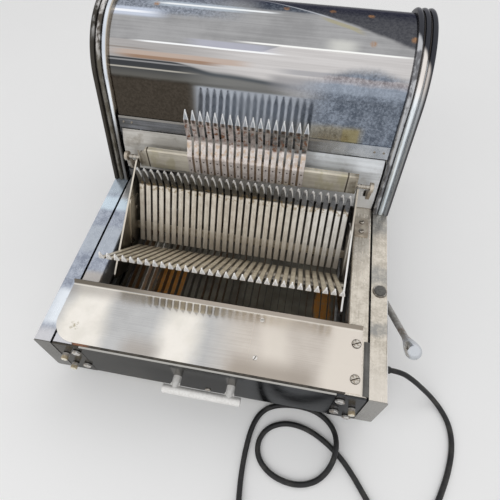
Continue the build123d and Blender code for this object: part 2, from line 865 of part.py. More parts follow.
def end_guide():
    centre = step_along(guide_centre(), 180 - BACK_LEAN, CROSSBAR_SHEET)
    plate = Rot(0, 0, -BACK_LEAN) * RectangleRounded(GUIDE_WIDTH, GUIDE_LENGTH, GUIDE_CORNER)
    return along_x(Pos(*centre) * plate, plate_inner - GUIDE_SHEET, plate_inner)


def guide_rivet():
    at = step_along(guide_centre(), 90 - BACK_LEAN, GUIDE_LENGTH / 4)
    return Pos(plate_inner - GUIDE_SHEET, *at) * Rot(0, -90, 0) * rivet(2 * RIVET_RADIUS, RIVET_RISE)


def trough_shaft():
    return bar_x(SHAFT_AT, SHAFT_RADIUS, -frame_outer - BUSH_LENGTH, case_half + LEVER_GAP + LEVER_HUB)


def hand_lever():
    middle = case_half + LEVER_GAP + LEVER_HUB / 2
    start = Vector(middle, *SHAFT_AT)
    ball = Vector(middle + LEVER_SPREAD, *LEVER_BALL_AT)
    reach = (ball - start).length
    neck = reach - LEVER_TEAR
    tear = Spline((LEVER_NECK, neck), (LEVER_BALL, reach), tangents=((0, 1), (0, 1)))
    cap = RadiusArc((LEVER_BALL, reach), (0, reach + LEVER_BALL), -LEVER_BALL)
    profile = make_face(
        [
            Line((0, 0), (LEVER_ROOT, 0)),
            Line((LEVER_ROOT, 0), (LEVER_NECK, neck)),
            tear,
            cap,
            Line((0, reach + LEVER_BALL), (0, 0)),
        ]
    )
    arm = Plane(origin=start, z_dir=ball - start) * revolve(Plane.XZ * profile, axis=Axis.Z)
    hub = bar_x(SHAFT_AT, LEVER_HUB_RADIUS, case_half + LEVER_GAP, case_half + LEVER_GAP + LEVER_HUB)
    return (arm + hub) - bar_x(SHAFT_AT, SHAFT_RADIUS, case_half, case_half + LEVER_GAP + LEVER_HUB + 1)


def shaft_bush():
    outer = bar_x(SHAFT_AT, BUSH_RADIUS, frame_inner - BUSH_LENGTH / 2, frame_inner + BUSH_LENGTH / 2)
    return outer - bar_x(SHAFT_AT, SHAFT_RADIUS + RUNNING_FIT, 0, case_half)


save("back_comb", back_comb())
save("front_comb", front_comb())
save("comb_crossbars", comb_crossbars())
save("end_plates", both_hands(end_plate()))
save("end_guides", both_hands(end_guide()))
save("guide_rivets", both_hands(guide_rivet()))
save("trough_shaft", trough_shaft())
save("hand_lever", hand_lever())
save("shaft_bushes", both_hands(shaft_bush()))


# Hood: a bent sheet between two ribbed trims and two cheeks, hinged at the rear.
def hood_line(inset):
    """The hood's side view, a given way inside its ribs: a leaning front, a round top and an upright rear."""
    front = HOOD_FOOT + inset / cos(radians(HOOD_LEAN))
    rear = CASE_DEPTH - inset
    apex = (rear, (rear - front) / tan(radians(HOOD_LEAN)))
    return FilletPolyline((front, 0), apex, (rear, 0), radius=hood_radius - inset)


def hood_side(inset):
    line = hood_line(inset)
    return make_face([*line.edges(), Line(line @ 1, line @ 0)])


def above(shape, height):
    reach = 2 * CASE_DEPTH
    return shape - block((-reach, reach), (-reach, reach), (-reach, height))


def hood_sheet():
    half = trim_inner + HOOD_TUCK
    sheet = above(along_x(hood_side(trim_inset) - hood_side(sheet_inset), -half, half), HOOD_GAP)
    middle = CASE_DEPTH - hood_radius
    return sheet - block((-case_half, case_half), (0, middle), (0, HOOD_EDGE))


def hood_strip():
    band = hood_side(trim_inset - STRIP_SHEET) - hood_side(trim_inset)
    middle = CASE_DEPTH - hood_radius
    strip = along_x(band, SLIT / 2 - trim_inner, trim_inner - SLIT / 2)
    return strip & block((-case_half, case_half), (0, middle), (STRIP_LOW, STRIP_HIGH))


def strip_rivets():
    height = (STRIP_LOW + STRIP_HIGH) / 2
    lean = radians(HOOD_LEAN)
    face = HOOD_FOOT + height * tan(lean) + (trim_inset - STRIP_SHEET) / cos(lean)
    head = Rot(90 - HOOD_LEAN, 0, 0) * rivet(RIVET_RADIUS, RIVET_RISE)
    return both_hands(group([Pos(x, face, height) * head for x in STRIP_RIVETS]))


def trim():
    base = Pos(0, -RIB_RADIUS - TRIM_BASE / 2) * Rectangle(TRIM_WIDTH, TRIM_BASE)
    rib_pitch = (TRIM_WIDTH - 2 * RIB_RADIUS) / (RIBS - 1)
    for number in range(RIBS):
        rib = Circle(RIB_RADIUS) & Pos(0, RIB_RADIUS / 2) * Rectangle(2 * RIB_RADIUS, RIB_RADIUS)
        base += Pos((number - (RIBS - 1) / 2) * rib_pitch, -RIB_RADIUS) * rib
    line = Plane.YZ * hood_line(0)
    start = Plane(origin=line @ 0, x_dir=(1, 0, 0), z_dir=line % 0)
    side = Pos(trim_inner + TRIM_WIDTH / 2, 0, 0)
    return above(side * sweep(start * mirror(base, about=Plane.XZ), path=line), HOOD_GAP)


def cheek():
    start = case_half - CHEEK_SHEET - HOOD_GAP / 2
    return above(along_x(hood_side(trim_inset), start, start + CHEEK_SHEET), HOOD_GAP)


save("hood_sheet", hood_sheet())
save("hood_strip", hood_strip())
save("strip_rivets", strip_rivets())
save("hood_trims", both_hands(trim()))
save("hood_cheeks", both_hands(cheek()))


# Hood hinges: two butt hinges behind the hood, with the hood leaf's knuckle between the base leaf's two.
hinge_axis = (hinge_y, HOOD_GAP / 2)


def knuckle(start, end):
    return bar_x(hinge_axis, HINGE_BARREL, start, end)


def hinge_base_leaf():
    half = HINGE_WIDTH / 2
    gap = HINGE_KNUCKLE / 2 + HINGE_PLAY
    low = hinge_axis[1] - HINGE_DROP
    leaf = block((-half, half), (CASE_DEPTH, CASE_DEPTH + HINGE_LEAF), (low, -HINGE_BARREL - HINGE_PLAY))
    for start, end in ((-half, -gap), (gap, half)):
        leaf += knuckle(start, end)
        leaf += block((start, end), (CASE_DEPTH, CASE_DEPTH + HINGE_LEAF), (low, hinge_axis[1]))
    return leaf - bar_x(hinge_axis, HINGE_PIN, -half - 1, half + 1)


def hinge_hood_leaf():
    half = HINGE_WIDTH / 2
    tongue = HINGE_KNUCKLE / 2
    seat = CASE_DEPTH - trim_inset
    low = hinge_axis[1] + HINGE_BARREL - HINGE_LEAF
    leaf = block((-half, half), (seat, seat + HINGE_LEAF), (low, low + HINGE_DROP))
    leaf += block((-half, half), (seat, CASE_DEPTH - HINGE_PLAY), (low, low + HINGE_LEAF))
    leaf += block((-tongue, tongue), (seat, hinge_axis[0]), (low, low + HINGE_LEAF))
    leaf += knuckle(-tongue, tongue)
    return leaf - bar_x(hinge_axis, HINGE_PIN + RUNNING_FIT, -half, half)


def hinge_pin():
    return bar_x(hinge_axis, HINGE_PIN, -HINGE_WIDTH / 2, HINGE_WIDTH / 2)


save("hinge_base_leaves", both_hands(Pos(HINGE_AT, 0, 0) * hinge_base_leaf()))
save("hinge_hood_leaves", both_hands(Pos(HINGE_AT, 0, 0) * hinge_hood_leaf()))
save("hinge_pins", both_hands(Pos(HINGE_AT, 0, 0) * hinge_pin()))


# Crumb drawer: a front with a cast pull handle, and a shallow tray that runs on the bottom flanges.
def drawer_front():
    return block((-drawer_half, drawer_half), (0, FRONT_SHEET), (drawer_low, DRAWER_TOP))


def crumb_tray():
    half = drawer_half - TRAY_INSET
    spans = ((-half, half), (FRONT_SHEET, tray_rear), (drawer_low, drawer_low + TRAY_WALL))
    hollow = (
        (TRAY_SHEET - half, half - TRAY_SHEET),
        (FRONT_SHEET + TRAY_SHEET, tray_rear - TRAY_SHEET),
        (drawer_low + TRAY_SHEET, drawer_low + 2 * TRAY_WALL),
    )
    return block(*spans) - block(*hollow)


def pull_handle():
    grip = along_x(Pos(-PULL_OUT, pull_height) * Circle(PULL_RADIUS), -PULL_HALF, PULL_HALF)
    grip = fillet(grip.edges(), PULL_EDGE)
    for x in (-PULL_POSTS, PULL_POSTS):
        grip += bar_y((x, pull_height), POST_RADIUS, -PULL_OUT, 0)
        web = polygon(
            (x - POST_FLARE, -PULL_OUT),
            (x + POST_FLARE, -PULL_OUT),
            (x + POST_RADIUS, PULL_RADIUS - PULL_OUT + POST_FLARE - POST_RADIUS),
            (x - POST_RADIUS, PULL_RADIUS - PULL_OUT + POST_FLARE - POST_RADIUS),
        )
        grip += extrude(Pos(0, 0, pull_height) * web, amount=POST_RADIUS / 2, both=True)
    return Pos(PULL_AT, 0, 0) * grip


def drawer_screw():
    return Pos(0, 0, drawer_low + DRAWER_SCREW_RISE) * Rot(90, 0, 0) * slotted_screw(0, 0, 0)


save("drawer_front", drawer_front())
save("crumb_tray", crumb_tray())
save("pull_handle", pull_handle())
save("drawer_screw", drawer_screw())


# Blades: thin steel strips in every gap of the combs, every second one in each of two sliding frames.
def blade_places(first):
    count = BACK_FINGERS + 1
    return [(number - (count - 1) / 2) * PITCH for number in range(first, count, 2)]


rod_at = blade_places(0)[ROD_BLADE]


def blades(first, front, rear):
    half = BLADE_SHEET / 2
    height = (blade_low, BLADE_TOP)
    return group([block((x - half, x + half), (front, rear), height) for x in blade_places(first)])


def frame_bars(half, front, rear):
    """The two crossbars of a frame, in front of its blades and behind them."""
    height = (blade_low - BAR_OVER, BLADE_TOP + BAR_OVER)
    ends = ((front - BAR_THICK, front), (rear, rear + BAR_THICK))
    return [block((-half, half), end, height) for end in ends]


def clevis(at, bar_start, bar_end, middle):
    """Two cheeks on a frame's rear bar that take the small end of its rod between them."""
    base = BLADE_TOP + BAR_OVER
    foot = [Pos(y, base - 2) * Circle(2) for y in (bar_start + 2, bar_end - 2)]
    outline = hull(Pos(*at) * Circle(CLEVIS_RADIUS), *foot)
    outline -= Pos((bar_start + bar_end) / 2, base - BAR_THICK / 2) * Rectangle(3 * BAR_THICK, BAR_THICK)
    gap = ROD_SHEET / 2 + CHEEK_PLAY
    cheeks = []
    for start in (middle - gap - CLEVIS_SHEET, middle + gap):
        cheeks.append(along_x(outline, start, start + CLEVIS_SHEET))
    return cheeks


def outer_frame():
    half = outer_rail + RAIL_WIDTH
    front_bar, frame = frame_bars(half, OUTER_FRONT, outer_rear)
    for start in (outer_rail, -half):
        frame += block((start, start + RAIL_WIDTH), (OUTER_FRONT, outer_rear), (rail_low, rail_high))
    frame += front_bar
    pivot = (outer_pivot, crank_at[1] + THROW)
    for piece in clevis(pivot, outer_rear, outer_rear + BAR_THICK, -rod_at):
        frame += piece
    return frame


def inner_frame():
    half = inner_rail + RAIL_WIDTH
    front_bar, frame = frame_bars(half, INNER_FRONT, inner_rear)
    for start in (inner_rail, -half):
        frame += block((start, start + RAIL_WIDTH), (INNER_FRONT, inner_rear), (rail_low, rail_high))
    frame += front_bar
    slots = [
        block(
            (x - SLOT_WIDTH / 2, x + SLOT_WIDTH / 2),
            (INNER_FRONT - 2 * BAR_THICK, inner_rear + 2 * BAR_THICK),
            (blade_low - 2, BLADE_TOP + 2 * BAR_OVER),
        )
        for x in blade_places(0)
    ]
    frame -= slots
    pivot = (inner_pivot, crank_at[1] - THROW)
    for piece in clevis(pivot, inner_rear, inner_rear + BAR_THICK, rod_at):
        frame += piece
    return frame


def guide_blocks():
    tongue = (inner_rail + RAIL_WIDTH + GUIDE_PLAY, outer_rail - GUIDE_PLAY)
    base = (rail_low - GUIDE_PLAY - GUIDE_BASE, rail_low - GUIDE_PLAY)
    pieces = []
    for y in (INNER_FRONT + GUIDE_FROM_FRONT, inner_rear - GUIDE_FROM_REAR):
        length = (y - GUIDE_BLOCK / 2, y + GUIDE_BLOCK / 2)
        foot = block((inner_rail - GUIDE_PLAY, frame_inner), length, base)
        pieces.append(foot + block(tongue, length, (base[0], rail_high)))
    return both_hands(group(pieces))


save("blades_outer", blades(0, OUTER_FRONT, outer_rear))
save("blades_inner", blades(1, INNER_FRONT, inner_rear))
save("blade_frame_outer", outer_frame())
save("blade_frame_inner", inner_frame())
save("frame_guide_blocks", guide_blocks())


# Crank drive: a belt from the motor turns a shaft with two opposed eccentrics, which push the rods.
def eccentric(side, x):
    centre = (crank_at[0], crank_at[1] + side * THROW)
    return bar_x(centre, ECCENTRIC_RADIUS, x - ROD_SHEET / 2 - 1, x + ROD_SHEET / 2 + 1)


def pulley(at, radius, bore):
    """A grooved wheel whose belt runs with its middle at the radius."""
    half = PULLEY_WIDTH / 2
    low = radius - BELT_SHEET / 2 - BELT_GAP
    high = radius + BELT_SHEET / 2
    narrow = BELT_WIDTH / 2 + BELT_GAP
    wide = narrow + BELT_SHEET / 2
    profile = polygon(
        (bore, -half),
        (high, -half),
        (high, -wide),
        (low, -narrow),
        (low, narrow),
        (high, wide),
        (high, half),
        (bore, half),
    )
    return Pos(PULLEY_AT, *at) * Rot(0, 90, 0) * revolve(Plane.XZ * profile, axis=Axis.Z)


def crank_shaft():
    start = PULLEY_AT - PULLEY_WIDTH / 2
    shaft = bar_x(crank_at, CRANK_RADIUS, start, BEARING_AT + BEARING_WIDTH)
    return shaft + eccentric(1, -rod_at) + eccentric(-1, rod_at)


def crank_bearing():
    foot = Pos(crank_at[0], beam_top + BEARING_RADIUS / 4) * Rectangle(BEAM_DEPTH, BEARING_RADIUS / 2)
    neck = Pos(crank_at[0], beam_top + 2) * Circle(2)
    outline = hull(Pos(*crank_at) * Circle(BEARING_RADIUS), Pos(-10, 0) * neck, Pos(10, 0) * neck) + foot
    outline -= Pos(*crank_at) * Circle(CRANK_RADIUS + RUNNING_FIT)
    return along_x(outline, BEARING_AT - BEARING_WIDTH / 2, BEARING_AT + BEARING_WIDTH / 2)


def rod(side, x, pivot):
    """A ring that runs on an eccentric, with an arm to the eye in the frame's clevis."""
    height = crank_at[1] + side * THROW
    ring = Pos(crank_at[0], height)
    eye = Pos(pivot, height)
    arm = hull(eye * Circle(ROD_EYE), Pos(crank_at[0] - ECCENTRIC_RADIUS, height) * Circle(ROD_HEIGHT))
    outline = arm + ring * Circle(ROD_RING)
    outline -= ring * Circle(ECCENTRIC_RADIUS + RUNNING_FIT)
    outline -= eye * Circle(ROD_EYE / 2)
    return along_x(outline, x - ROD_SHEET / 2, x + ROD_SHEET / 2)


def motor_bridge():
    section = folded(
        [
            (frame_inner, -BRIDGE_DROP),
            (frame_inner, bridge_top),
            (-frame_inner, bridge_top),
            (-frame_inner, -BRIDGE_DROP),
        ],
        BRIDGE_SHEET,
        BRIDGE_SHEET + 2,
        Side.LEFT,
    )
    bridge = along_y(section, motor_at[0] - BRIDGE_DEPTH / 2, motor_at[0] + BRIDGE_DEPTH / 2)
    slot = (PULLEY_AT - PULLEY_WIDTH / 2 - 2, PULLEY_AT + PULLEY_WIDTH / 2 + 2)
    length = (motor_at[0] - BRIDGE_SLOT / 2, motor_at[0] + BRIDGE_SLOT / 2)
    return bridge - block(slot, length, (0, bridge_top + 1))


def motor_body():
    start = PULLEY_AT + PULLEY_WIDTH / 2 + MOTOR_GAP
    bell = MOTOR_RADIUS * 0.7
    depth = MOTOR_LENGTH / 8
    profile = polygon(
        (0, 0),
        (bell, 0),
        (MOTOR_RADIUS, depth),
        (MOTOR_RADIUS, MOTOR_LENGTH - depth),
        (bell, MOTOR_LENGTH),
        (0, MOTOR_LENGTH),
    )
    body = Pos(start, *motor_at) * Rot(0, 90, 0) * revolve(Plane.XZ * profile, axis=Axis.Z)
    pad_length = (start + MOTOR_LENGTH / 2 - MOTOR_FOOT / 2, start + MOTOR_LENGTH / 2 + MOTOR_FOOT / 2)
    pad_depth = (motor_at[0] - MOTOR_FOOT / 2, motor_at[0] + MOTOR_FOOT / 2)
    body += block(pad_length, pad_depth, (bridge_top, motor_at[1] - MOTOR_RADIUS / 2))
    return body - bar_x(motor_at, MOTOR_SHAFT + RUNNING_FIT, start - 1, start + MOTOR_SOCKET + RUNNING_FIT)


def motor_pulley():
    end = PULLEY_AT + PULLEY_WIDTH / 2 + MOTOR_GAP + MOTOR_SOCKET
    return pulley(motor_at, MOTOR_PULLEY, 0) + bar_x(motor_at, MOTOR_SHAFT, PULLEY_AT, end - 1)


def drive_belt():
    pulleys = ((crank_at, CRANK_PULLEY), (motor_at, MOTOR_PULLEY))
    outer = hull(*[Pos(*at) * Circle(radius + BELT_SHEET / 2) for at, radius in pulleys])
    inner = hull(*[Pos(*at) * Circle(radius - BELT_SHEET / 2) for at, radius in pulleys])
    return along_x(outer - inner, PULLEY_AT - BELT_WIDTH / 2, PULLEY_AT + BELT_WIDTH / 2)


save("crank_shaft", crank_shaft())
save("crank_pulley", pulley(crank_at, CRANK_PULLEY, CRANK_RADIUS))
save("crank_bearings", both_hands(crank_bearing()))
save("rod_outer", rod(1, -rod_at, outer_pivot))
save("rod_inner", rod(-1, rod_at, inner_pivot))
save("motor_bridge", motor_bridge())
save("motor_body", motor_body())
save("motor_pulley", motor_pulley())
save("drive_belt", drive_belt())


# Power cord: a gland in the right cover, a round cable that lies in loose loops, and its plug.
def cord_gland():
    tip = CORD_RADIUS + 1.2
    profile = polygon(
        (0, -COVER_SHEET - 3),
        (GLAND_RADIUS, -COVER_SHEET - 3),
        (GLAND_RADIUS, 0),
        (GLAND_RIM, 0),
        (GLAND_RIM, 3),
        (GLAND_RADIUS, 3),
        (tip, GLAND_LENGTH),
        (0, GLAND_LENGTH),
    )
    return Pos(case_half, *GLAND_AT) * Rot(0, 90, 0) * revolve(Plane.XZ * profile, axis=Axis.Z)


def cord_radii(points):
    """The largest bend that the two runs beside each corner leave room for."""
    corners = zip(points, points[1:], points[2:])
    radii = []
    for before, corner, after in corners:
        run_in = Vector(*corner) - Vector(*before)
        run_out = Vector(*after) - Vector(*corner)
        half_turn = radians(run_in.get_angle(run_out)) / 2
        radii.append(0.45 * min(run_in.length, run_out.length) / tan(half_turn))
    return radii


def power_cord():
    radii = cord_radii(CORD_ROUTE)
    route = FilletPolyline(*CORD_ROUTE, radius=radii)
    section = Plane(origin=route @ 0, z_dir=route % 0) * Circle(CORD_RADIUS)
    cord = sweep(section, path=route)
    print("cord radii", [round(radius) for radius in radii])
    print("cord length", round(route.length), "volume ratio", cord.volume / (section.area * route.length))
    return cord


def mains_plug():
    profile = polygon(
        (0, 0),
        (CORD_RADIUS + 1, 0),
        (PLUG_RADIUS * 0.6, PLUG_LENGTH * 0.25),
        (PLUG_RADIUS, PLUG_LENGTH * 0.6),
        (PLUG_RADIUS, PLUG_LENGTH),
        (0, PLUG_LENGTH),
    )
    plug = revolve(Plane.XZ * profile, axis=Axis.Z)
    for x in (-PLUG_PIN_SPREAD, PLUG_PIN_SPREAD):
        pin = Cylinder(PLUG_PIN, PLUG_PIN_LENGTH, align=(Align.CENTER, Align.CENTER, Align.MIN))
        plug += Pos(x, 0, PLUG_LENGTH) * pin
    end = Vector(*CORD_ROUTE[-1])
    heading = end - Vector(*CORD_ROUTE[-2])
    return Plane(origin=end, x_dir=(1, 0, 0), z_dir=heading) * plug


save("cord_gland", cord_gland())
save("power_cord", power_cord())
save("mains_plug", mains_plug())
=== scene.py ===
import bmesh
import bpy
from math import asin, cos, pi, sin
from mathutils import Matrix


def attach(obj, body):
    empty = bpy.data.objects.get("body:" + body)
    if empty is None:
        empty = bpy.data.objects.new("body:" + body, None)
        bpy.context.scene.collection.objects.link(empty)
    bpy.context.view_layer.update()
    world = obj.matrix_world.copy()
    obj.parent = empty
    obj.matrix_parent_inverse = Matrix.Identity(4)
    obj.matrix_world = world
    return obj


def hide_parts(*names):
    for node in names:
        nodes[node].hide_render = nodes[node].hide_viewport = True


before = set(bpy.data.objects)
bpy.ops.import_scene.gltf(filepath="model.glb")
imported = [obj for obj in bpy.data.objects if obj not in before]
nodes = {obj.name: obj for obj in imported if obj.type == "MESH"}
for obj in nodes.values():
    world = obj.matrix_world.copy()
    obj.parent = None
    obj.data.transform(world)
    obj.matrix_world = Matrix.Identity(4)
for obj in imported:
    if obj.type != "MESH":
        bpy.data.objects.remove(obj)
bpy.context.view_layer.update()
scene = bpy.context.scene
scene.view_settings.view_transform = "Standard"

# Camera: above the front right corner of the machine, tipped down over the trough. Its lens is the one that
# makes the machine's straight edges meet where they do in the photograph.
CAMERA_DIP = 0.963347
CAMERA_TURN = 0.182186

camera_data = bpy.data.cameras.new("camera")
camera_data.sensor_width = 36.0
camera_data.lens = 30.22
camera = bpy.data.objects.new("camera", camera_data)
camera.location = (0.09095, -0.50755, 0.76274)
camera.rotation_euler = (pi / 2 - CAMERA_DIP, 0.0, CAMERA_TURN)
scene.collection.objects.link(camera)
scene.camera = camera


# Studio: a plain pale paper floor under two large soft boxes, one above the camera and one behind the
# machine. They are not mirrored in the polished sheets, which see only a white surround.
# All patterns on the machine are placed from the middle of its deck's front edge, X right, Y back, Z up.
CASING_SHIFT = (-0.0185, -0.30975, 0.134)
MIX_COLOURS = (6, 7)  # sockets that a Mix node takes its two colours from
MIX_RESULT = 2  # socket that it gives the mixed colour to


class Value:
    """One value in a material's tree. Operators add maths nodes, and node() adds any other."""

    def __init__(self, tree, socket):
        self.tree = tree
        self.socket = socket

    def feed(self, socket, value):
        if isinstance(value, Value):
            self.tree.links.new(value.socket, socket)
        else:
            socket.default_value = value

    def node(self, kind, inputs, output=0, **settings):
        made = self.tree.nodes.new("ShaderNode" + kind)
        for name, setting in settings.items():
            setattr(made, name, setting)
        for key, value in inputs.items():
            self.feed(made.inputs[key], value)
        return Value(self.tree, made.outputs[output])

    def maths(self, operation, *others):
        return self.node("Math", dict(enumerate((self, *others))), operation=operation)

    def __add__(self, other):
        return self.maths("ADD", other)

    def __mul__(self, other):
        return self.maths("MULTIPLY", other)

    def __sub__(self, other):
        return self.maths("SUBTRACT", other)

    def __rsub__(self, other):
        return self.node("Math", {0: other, 1: self}, operation="SUBTRACT")

    def __truediv__(self, other):
        return self.maths("DIVIDE", other)

    def size(self):
        return self.maths("ABSOLUTE")

    def part(self, axis):
        return self.node("SeparateXYZ", {0: self}, output="XYZ".index(axis))

    def stretched(self, x, y, z):
        return self.node("VectorMath", {0: self, 1: (x, y, z)}, operation="MULTIPLY")

    def noise(self, scale, detail=3.0, roughness=0.55):
        inputs = {"Vector": self, "Scale": scale, "Detail": detail, "Roughness": roughness}
        return self.node("TexNoise", inputs)

    def span(self, start, end, low=0.0, high=1.0):
        """Goes smoothly from low to high while the value goes from start to end."""
        inputs = {0: self, 1: start, 2: end, 3: low, 4: high}
        return self.node("MapRange", inputs, interpolation_type="SMOOTHSTEP")

    def between(self, low, high):
        """A number from low to high, over the range where most of a noise lies."""
        return self.span(0.3, 0.7, low, high)

    def band(self, low, high, soft):
        """One where the value lies from low to high, and nought beyond a soft edge."""
        return self.span(low - soft, low) * self.span(high, high + soft, 1.0, 0.0)

    def specks(self, scale, size, share):
        """Round spots, in a share of the cells that the surface is divided into."""
        inputs = {"Vector": self, "Scale": scale}
        chance = self.node("TexVoronoi", inputs, output="Color").part("X")
        spot = self.node("TexVoronoi", inputs).span(size * 0.4, size, 1.0, 0.0)
        return spot * chance.span(share, share + 0.01, 1.0, 0.0)

    def paint(self, colour_off, colour_on):
        """The first colour where the value is nought, and the second where it is one."""
        inputs = {"Factor": self}
        for socket, colour in zip(MIX_COLOURS, (colour_off, colour_on)):
            inputs[socket] = colour if isinstance(colour, Value) else (*colour, 1.0)
        return self.node("Mix", inputs, output=MIX_RESULT, data_type="RGBA")

    def shades(self, first, second):
        """A colour from one shade to another, over the range where most of a noise lies."""
        return self.span(0.35, 0.65).paint(first, second)


class Surface:
    """A material with one Principled shader, and the place on the machine that its patterns start from."""

    def __init__(self, name, **constants):
        self.material = bpy.data.materials.new(name)
        self.material.use_nodes = True
        tree = self.material.node_tree
        self.shader = tree.nodes["Principled BSDF"]
        coordinates = tree.nodes.new("ShaderNodeTexCoord")
        corner = Value(tree, coordinates.outputs["Object"])
        self.facing = Value(tree, coordinates.outputs["Normal"])
        self.place = corner.node("VectorMath", {0: corner, 1: CASING_SHIFT}, operation="SUBTRACT")
        for socket, constant in constants.items():
            self.shader.inputs[socket.replace("_", " ")].default_value = constant

    def set(self, socket, value):
        """Feeds one of the shader's sockets."""
        self.place.feed(self.shader.inputs[socket], value)

    def bump(self, height, strength, distance):
        inputs = {"Strength": strength, "Distance": distance, "Height": height}
        self.set("Normal", self.place.node("Bump", inputs))

    def dress(self, *names):
        """Gives this material to the CAD nodes of these names."""
        for name in names:
            slots = nodes[name].data.materials
            slots.clear()
            slots.append(self.material)


bpy.ops.mesh.primitive_plane_add(size=12.0, location=(0.0, 0.0, 0.0))
floor = bpy.context.object
floor.name = "floor"
paper = Surface("floor_paper", Roughness=0.9, Specular_IOR_Level=0.1)
paper.set("Base Color", paper.place.noise(3.0).paint((0.93, 0.93, 0.93), (0.96, 0.96, 0.96)))
floor.data.materials.append(paper.material)


def soft_light(name, place, turn, size, power):
    """A large soft box that the metal doesn't mirror."""
    light = bpy.data.lights.new(name, "AREA")
    light.shape = "RECTANGLE"
    light.size, light.size_y = size
    light.energy = power
    lamp = bpy.data.objects.new(name, light)
    lamp.location = place
    lamp.rotation_euler = turn
    lamp.visible_glossy = False
    scene.collection.objects.link(lamp)


soft_light("key_light", (-0.8, -2.2, 2.1), (0.80, -0.30, 0.0), (3.4, 2.4), 30.0)
soft_light("rear_light", (0.9, 1.9, 2.3), (-0.72, 0.35, 0.0), (2.8, 1.6), 10.0)

world = bpy.data.worlds.new("white_surround")
world.use_nodes = True
scene.world = world
background = world.node_tree.nodes["Background"]
rays = world.node_tree.nodes.new("ShaderNodeLightPath")
seen = Value(world.node_tree, rays.outputs["Is Camera Ray"])
seen = seen + Value(world.node_tree, rays.outputs["Is Glossy Ray"])
seen = seen + Value(world.node_tree, rays.outputs["Is Transmission Ray"])
background.inputs["Color"].default_value = (1.0, 1.0, 1.0, 1.0)
world.node_tree.links.new(seen.span(0.0, 1.0, 0.62, 1.0).socket, background.inputs["Strength"])


# Power cord: black rubber cable in two loose loops in front of the machine. It leaves the right cover through
# a tapered gland, lies along the floor and ends in a moulded plug with two bright pins.
BENCH = -CASING_SHIFT[2]
CORD_RADIUS = 0.0045
CORD_FLOOR = BENCH + CORD_RADIUS
PLUG_AXIS = BENCH + 0.0115
PRONG_START = -0.2445
CORD_ROUTE = [
    (0.300, 0.080, -0.072),
    (0.319, 0.080, -0.072),
    (0.342, 0.073, -0.082),
    (0.363, 0.069, -0.102),
    (0.382, 0.066, -0.122),
    (0.400, 0.051, CORD_FLOOR),
    (0.412, 0.029, CORD_FLOOR),
    (0.416, 0.005, CORD_FLOOR),
    (0.414, -0.020, CORD_FLOOR),
    (0.406, -0.050, CORD_FLOOR),
    (0.395, -0.078, CORD_FLOOR),
    (0.382, -0.106, CORD_FLOOR),
    (0.362, -0.130, CORD_FLOOR),
    (0.334, -0.143, CORD_FLOOR),
    (0.306, -0.139, CORD_FLOOR),
    (0.286, -0.123, CORD_FLOOR),
    (0.271, -0.103, CORD_FLOOR),
    (0.255, -0.082, CORD_FLOOR),
    (0.236, -0.061, CORD_FLOOR),
    (0.211, -0.042, CORD_FLOOR),
    (0.183, -0.028, CORD_FLOOR),
    (0.155, -0.022, CORD_FLOOR),
    (0.130, -0.025, CORD_FLOOR),
    (0.108, -0.038, CORD_FLOOR),
    (0.097, -0.060, CORD_FLOOR),
    (0.101, -0.084, CORD_FLOOR),
    (0.120, -0.102, CORD_FLOOR),
    (0.145, -0.111, CORD_FLOOR),
    (0.172, -0.112, CORD_FLOOR),
    (0.197, -0.103, CORD_FLOOR),
    (0.214, -0.086, CORD_FLOOR + 0.003),
    (0.223, -0.066, CORD_FLOOR + 0.011),
    (0.226, -0.042, CORD_FLOOR + 0.011),
    (0.221, -0.020, CORD_FLOOR + 0.003),
    (0.207, -0.004, CORD_FLOOR),
    (0.186, 0.006, CORD_FLOOR),
    (0.161, 0.009, CORD_FLOOR),
    (0.134, 0.007, CORD_FLOOR),
    (0.108, -0.001, CORD_FLOOR),
    (0.091, -0.018, CORD_FLOOR),
    (0.083, -0.042, CORD_FLOOR),
    (0.080, -0.068, CORD_FLOOR),
    (0.079, -0.096, CORD_FLOOR),
    (0.080, -0.124, CORD_FLOOR),
    (0.083, -0.152, CORD_FLOOR + 0.003),
    (0.086, -0.178, PLUG_AXIS),
    (0.088, -0.202, PLUG_AXIS),
]


def in_frame(at):
    """A place on the machine, moved to where the frame has it."""
    return [place + shift for place, shift in zip(at, CASING_SHIFT)]


cord_line = bpy.data.curves.new("cord_line", "CURVE")
cord_line.dimensions = "3D"
cord_line.bevel_depth = CORD_RADIUS
cord_line.bevel_resolution = 4
cord_line.use_fill_caps = True
cord_line.resolution_u = 8
cable = cord_line.splines.new("NURBS")
cable.points.add(len(CORD_ROUTE) - 1)
for point, at in zip(cable.points, CORD_ROUTE):
    point.co = (*in_frame(at), 1.0)
cable.order_u = 3
cable.use_endpoint_u = True
cord = bpy.data.objects.new("rubber_cord", cord_line)
scene.collection.objects.link(cord)

rubber = Surface("cord_rubber", Specular_IOR_Level=0.4)
dust = rubber.place.noise(60.0, 4.0)
rubber.set("Base Color", dust.span(0.45, 0.75).paint((0.010, 0.010, 0.011), (0.045, 0.043, 0.040)))
rubber.set("Roughness", dust.between(0.42, 0.62))
rubber.bump(rubber.place.noise(900.0), 0.15, 0.0002)
cord_line.materials.append(rubber.material)
rubber.dress("power_cord", "cord_gland")

moulding = Surface("plug_moulding", Roughness=0.5)
prong = (moulding.place.part("Y") - PRONG_START).span(0.0, 0.0005, 1.0, 0.0)
grip = moulding.place.noise(250.0, 4.0)
black = grip.paint((0.012, 0.012, 0.013), (0.03, 0.03, 0.03))
moulding.set("Base Color", prong.paint(black, (0.62, 0.56, 0.40)))
moulding.set("Metallic", prong)
moulding.bump(grip, 0.12, 0.0003)
moulding.dress("mains_plug")

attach(cord, "casing")
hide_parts("power_cord")
in_frame(CORD_ROUTE[0])


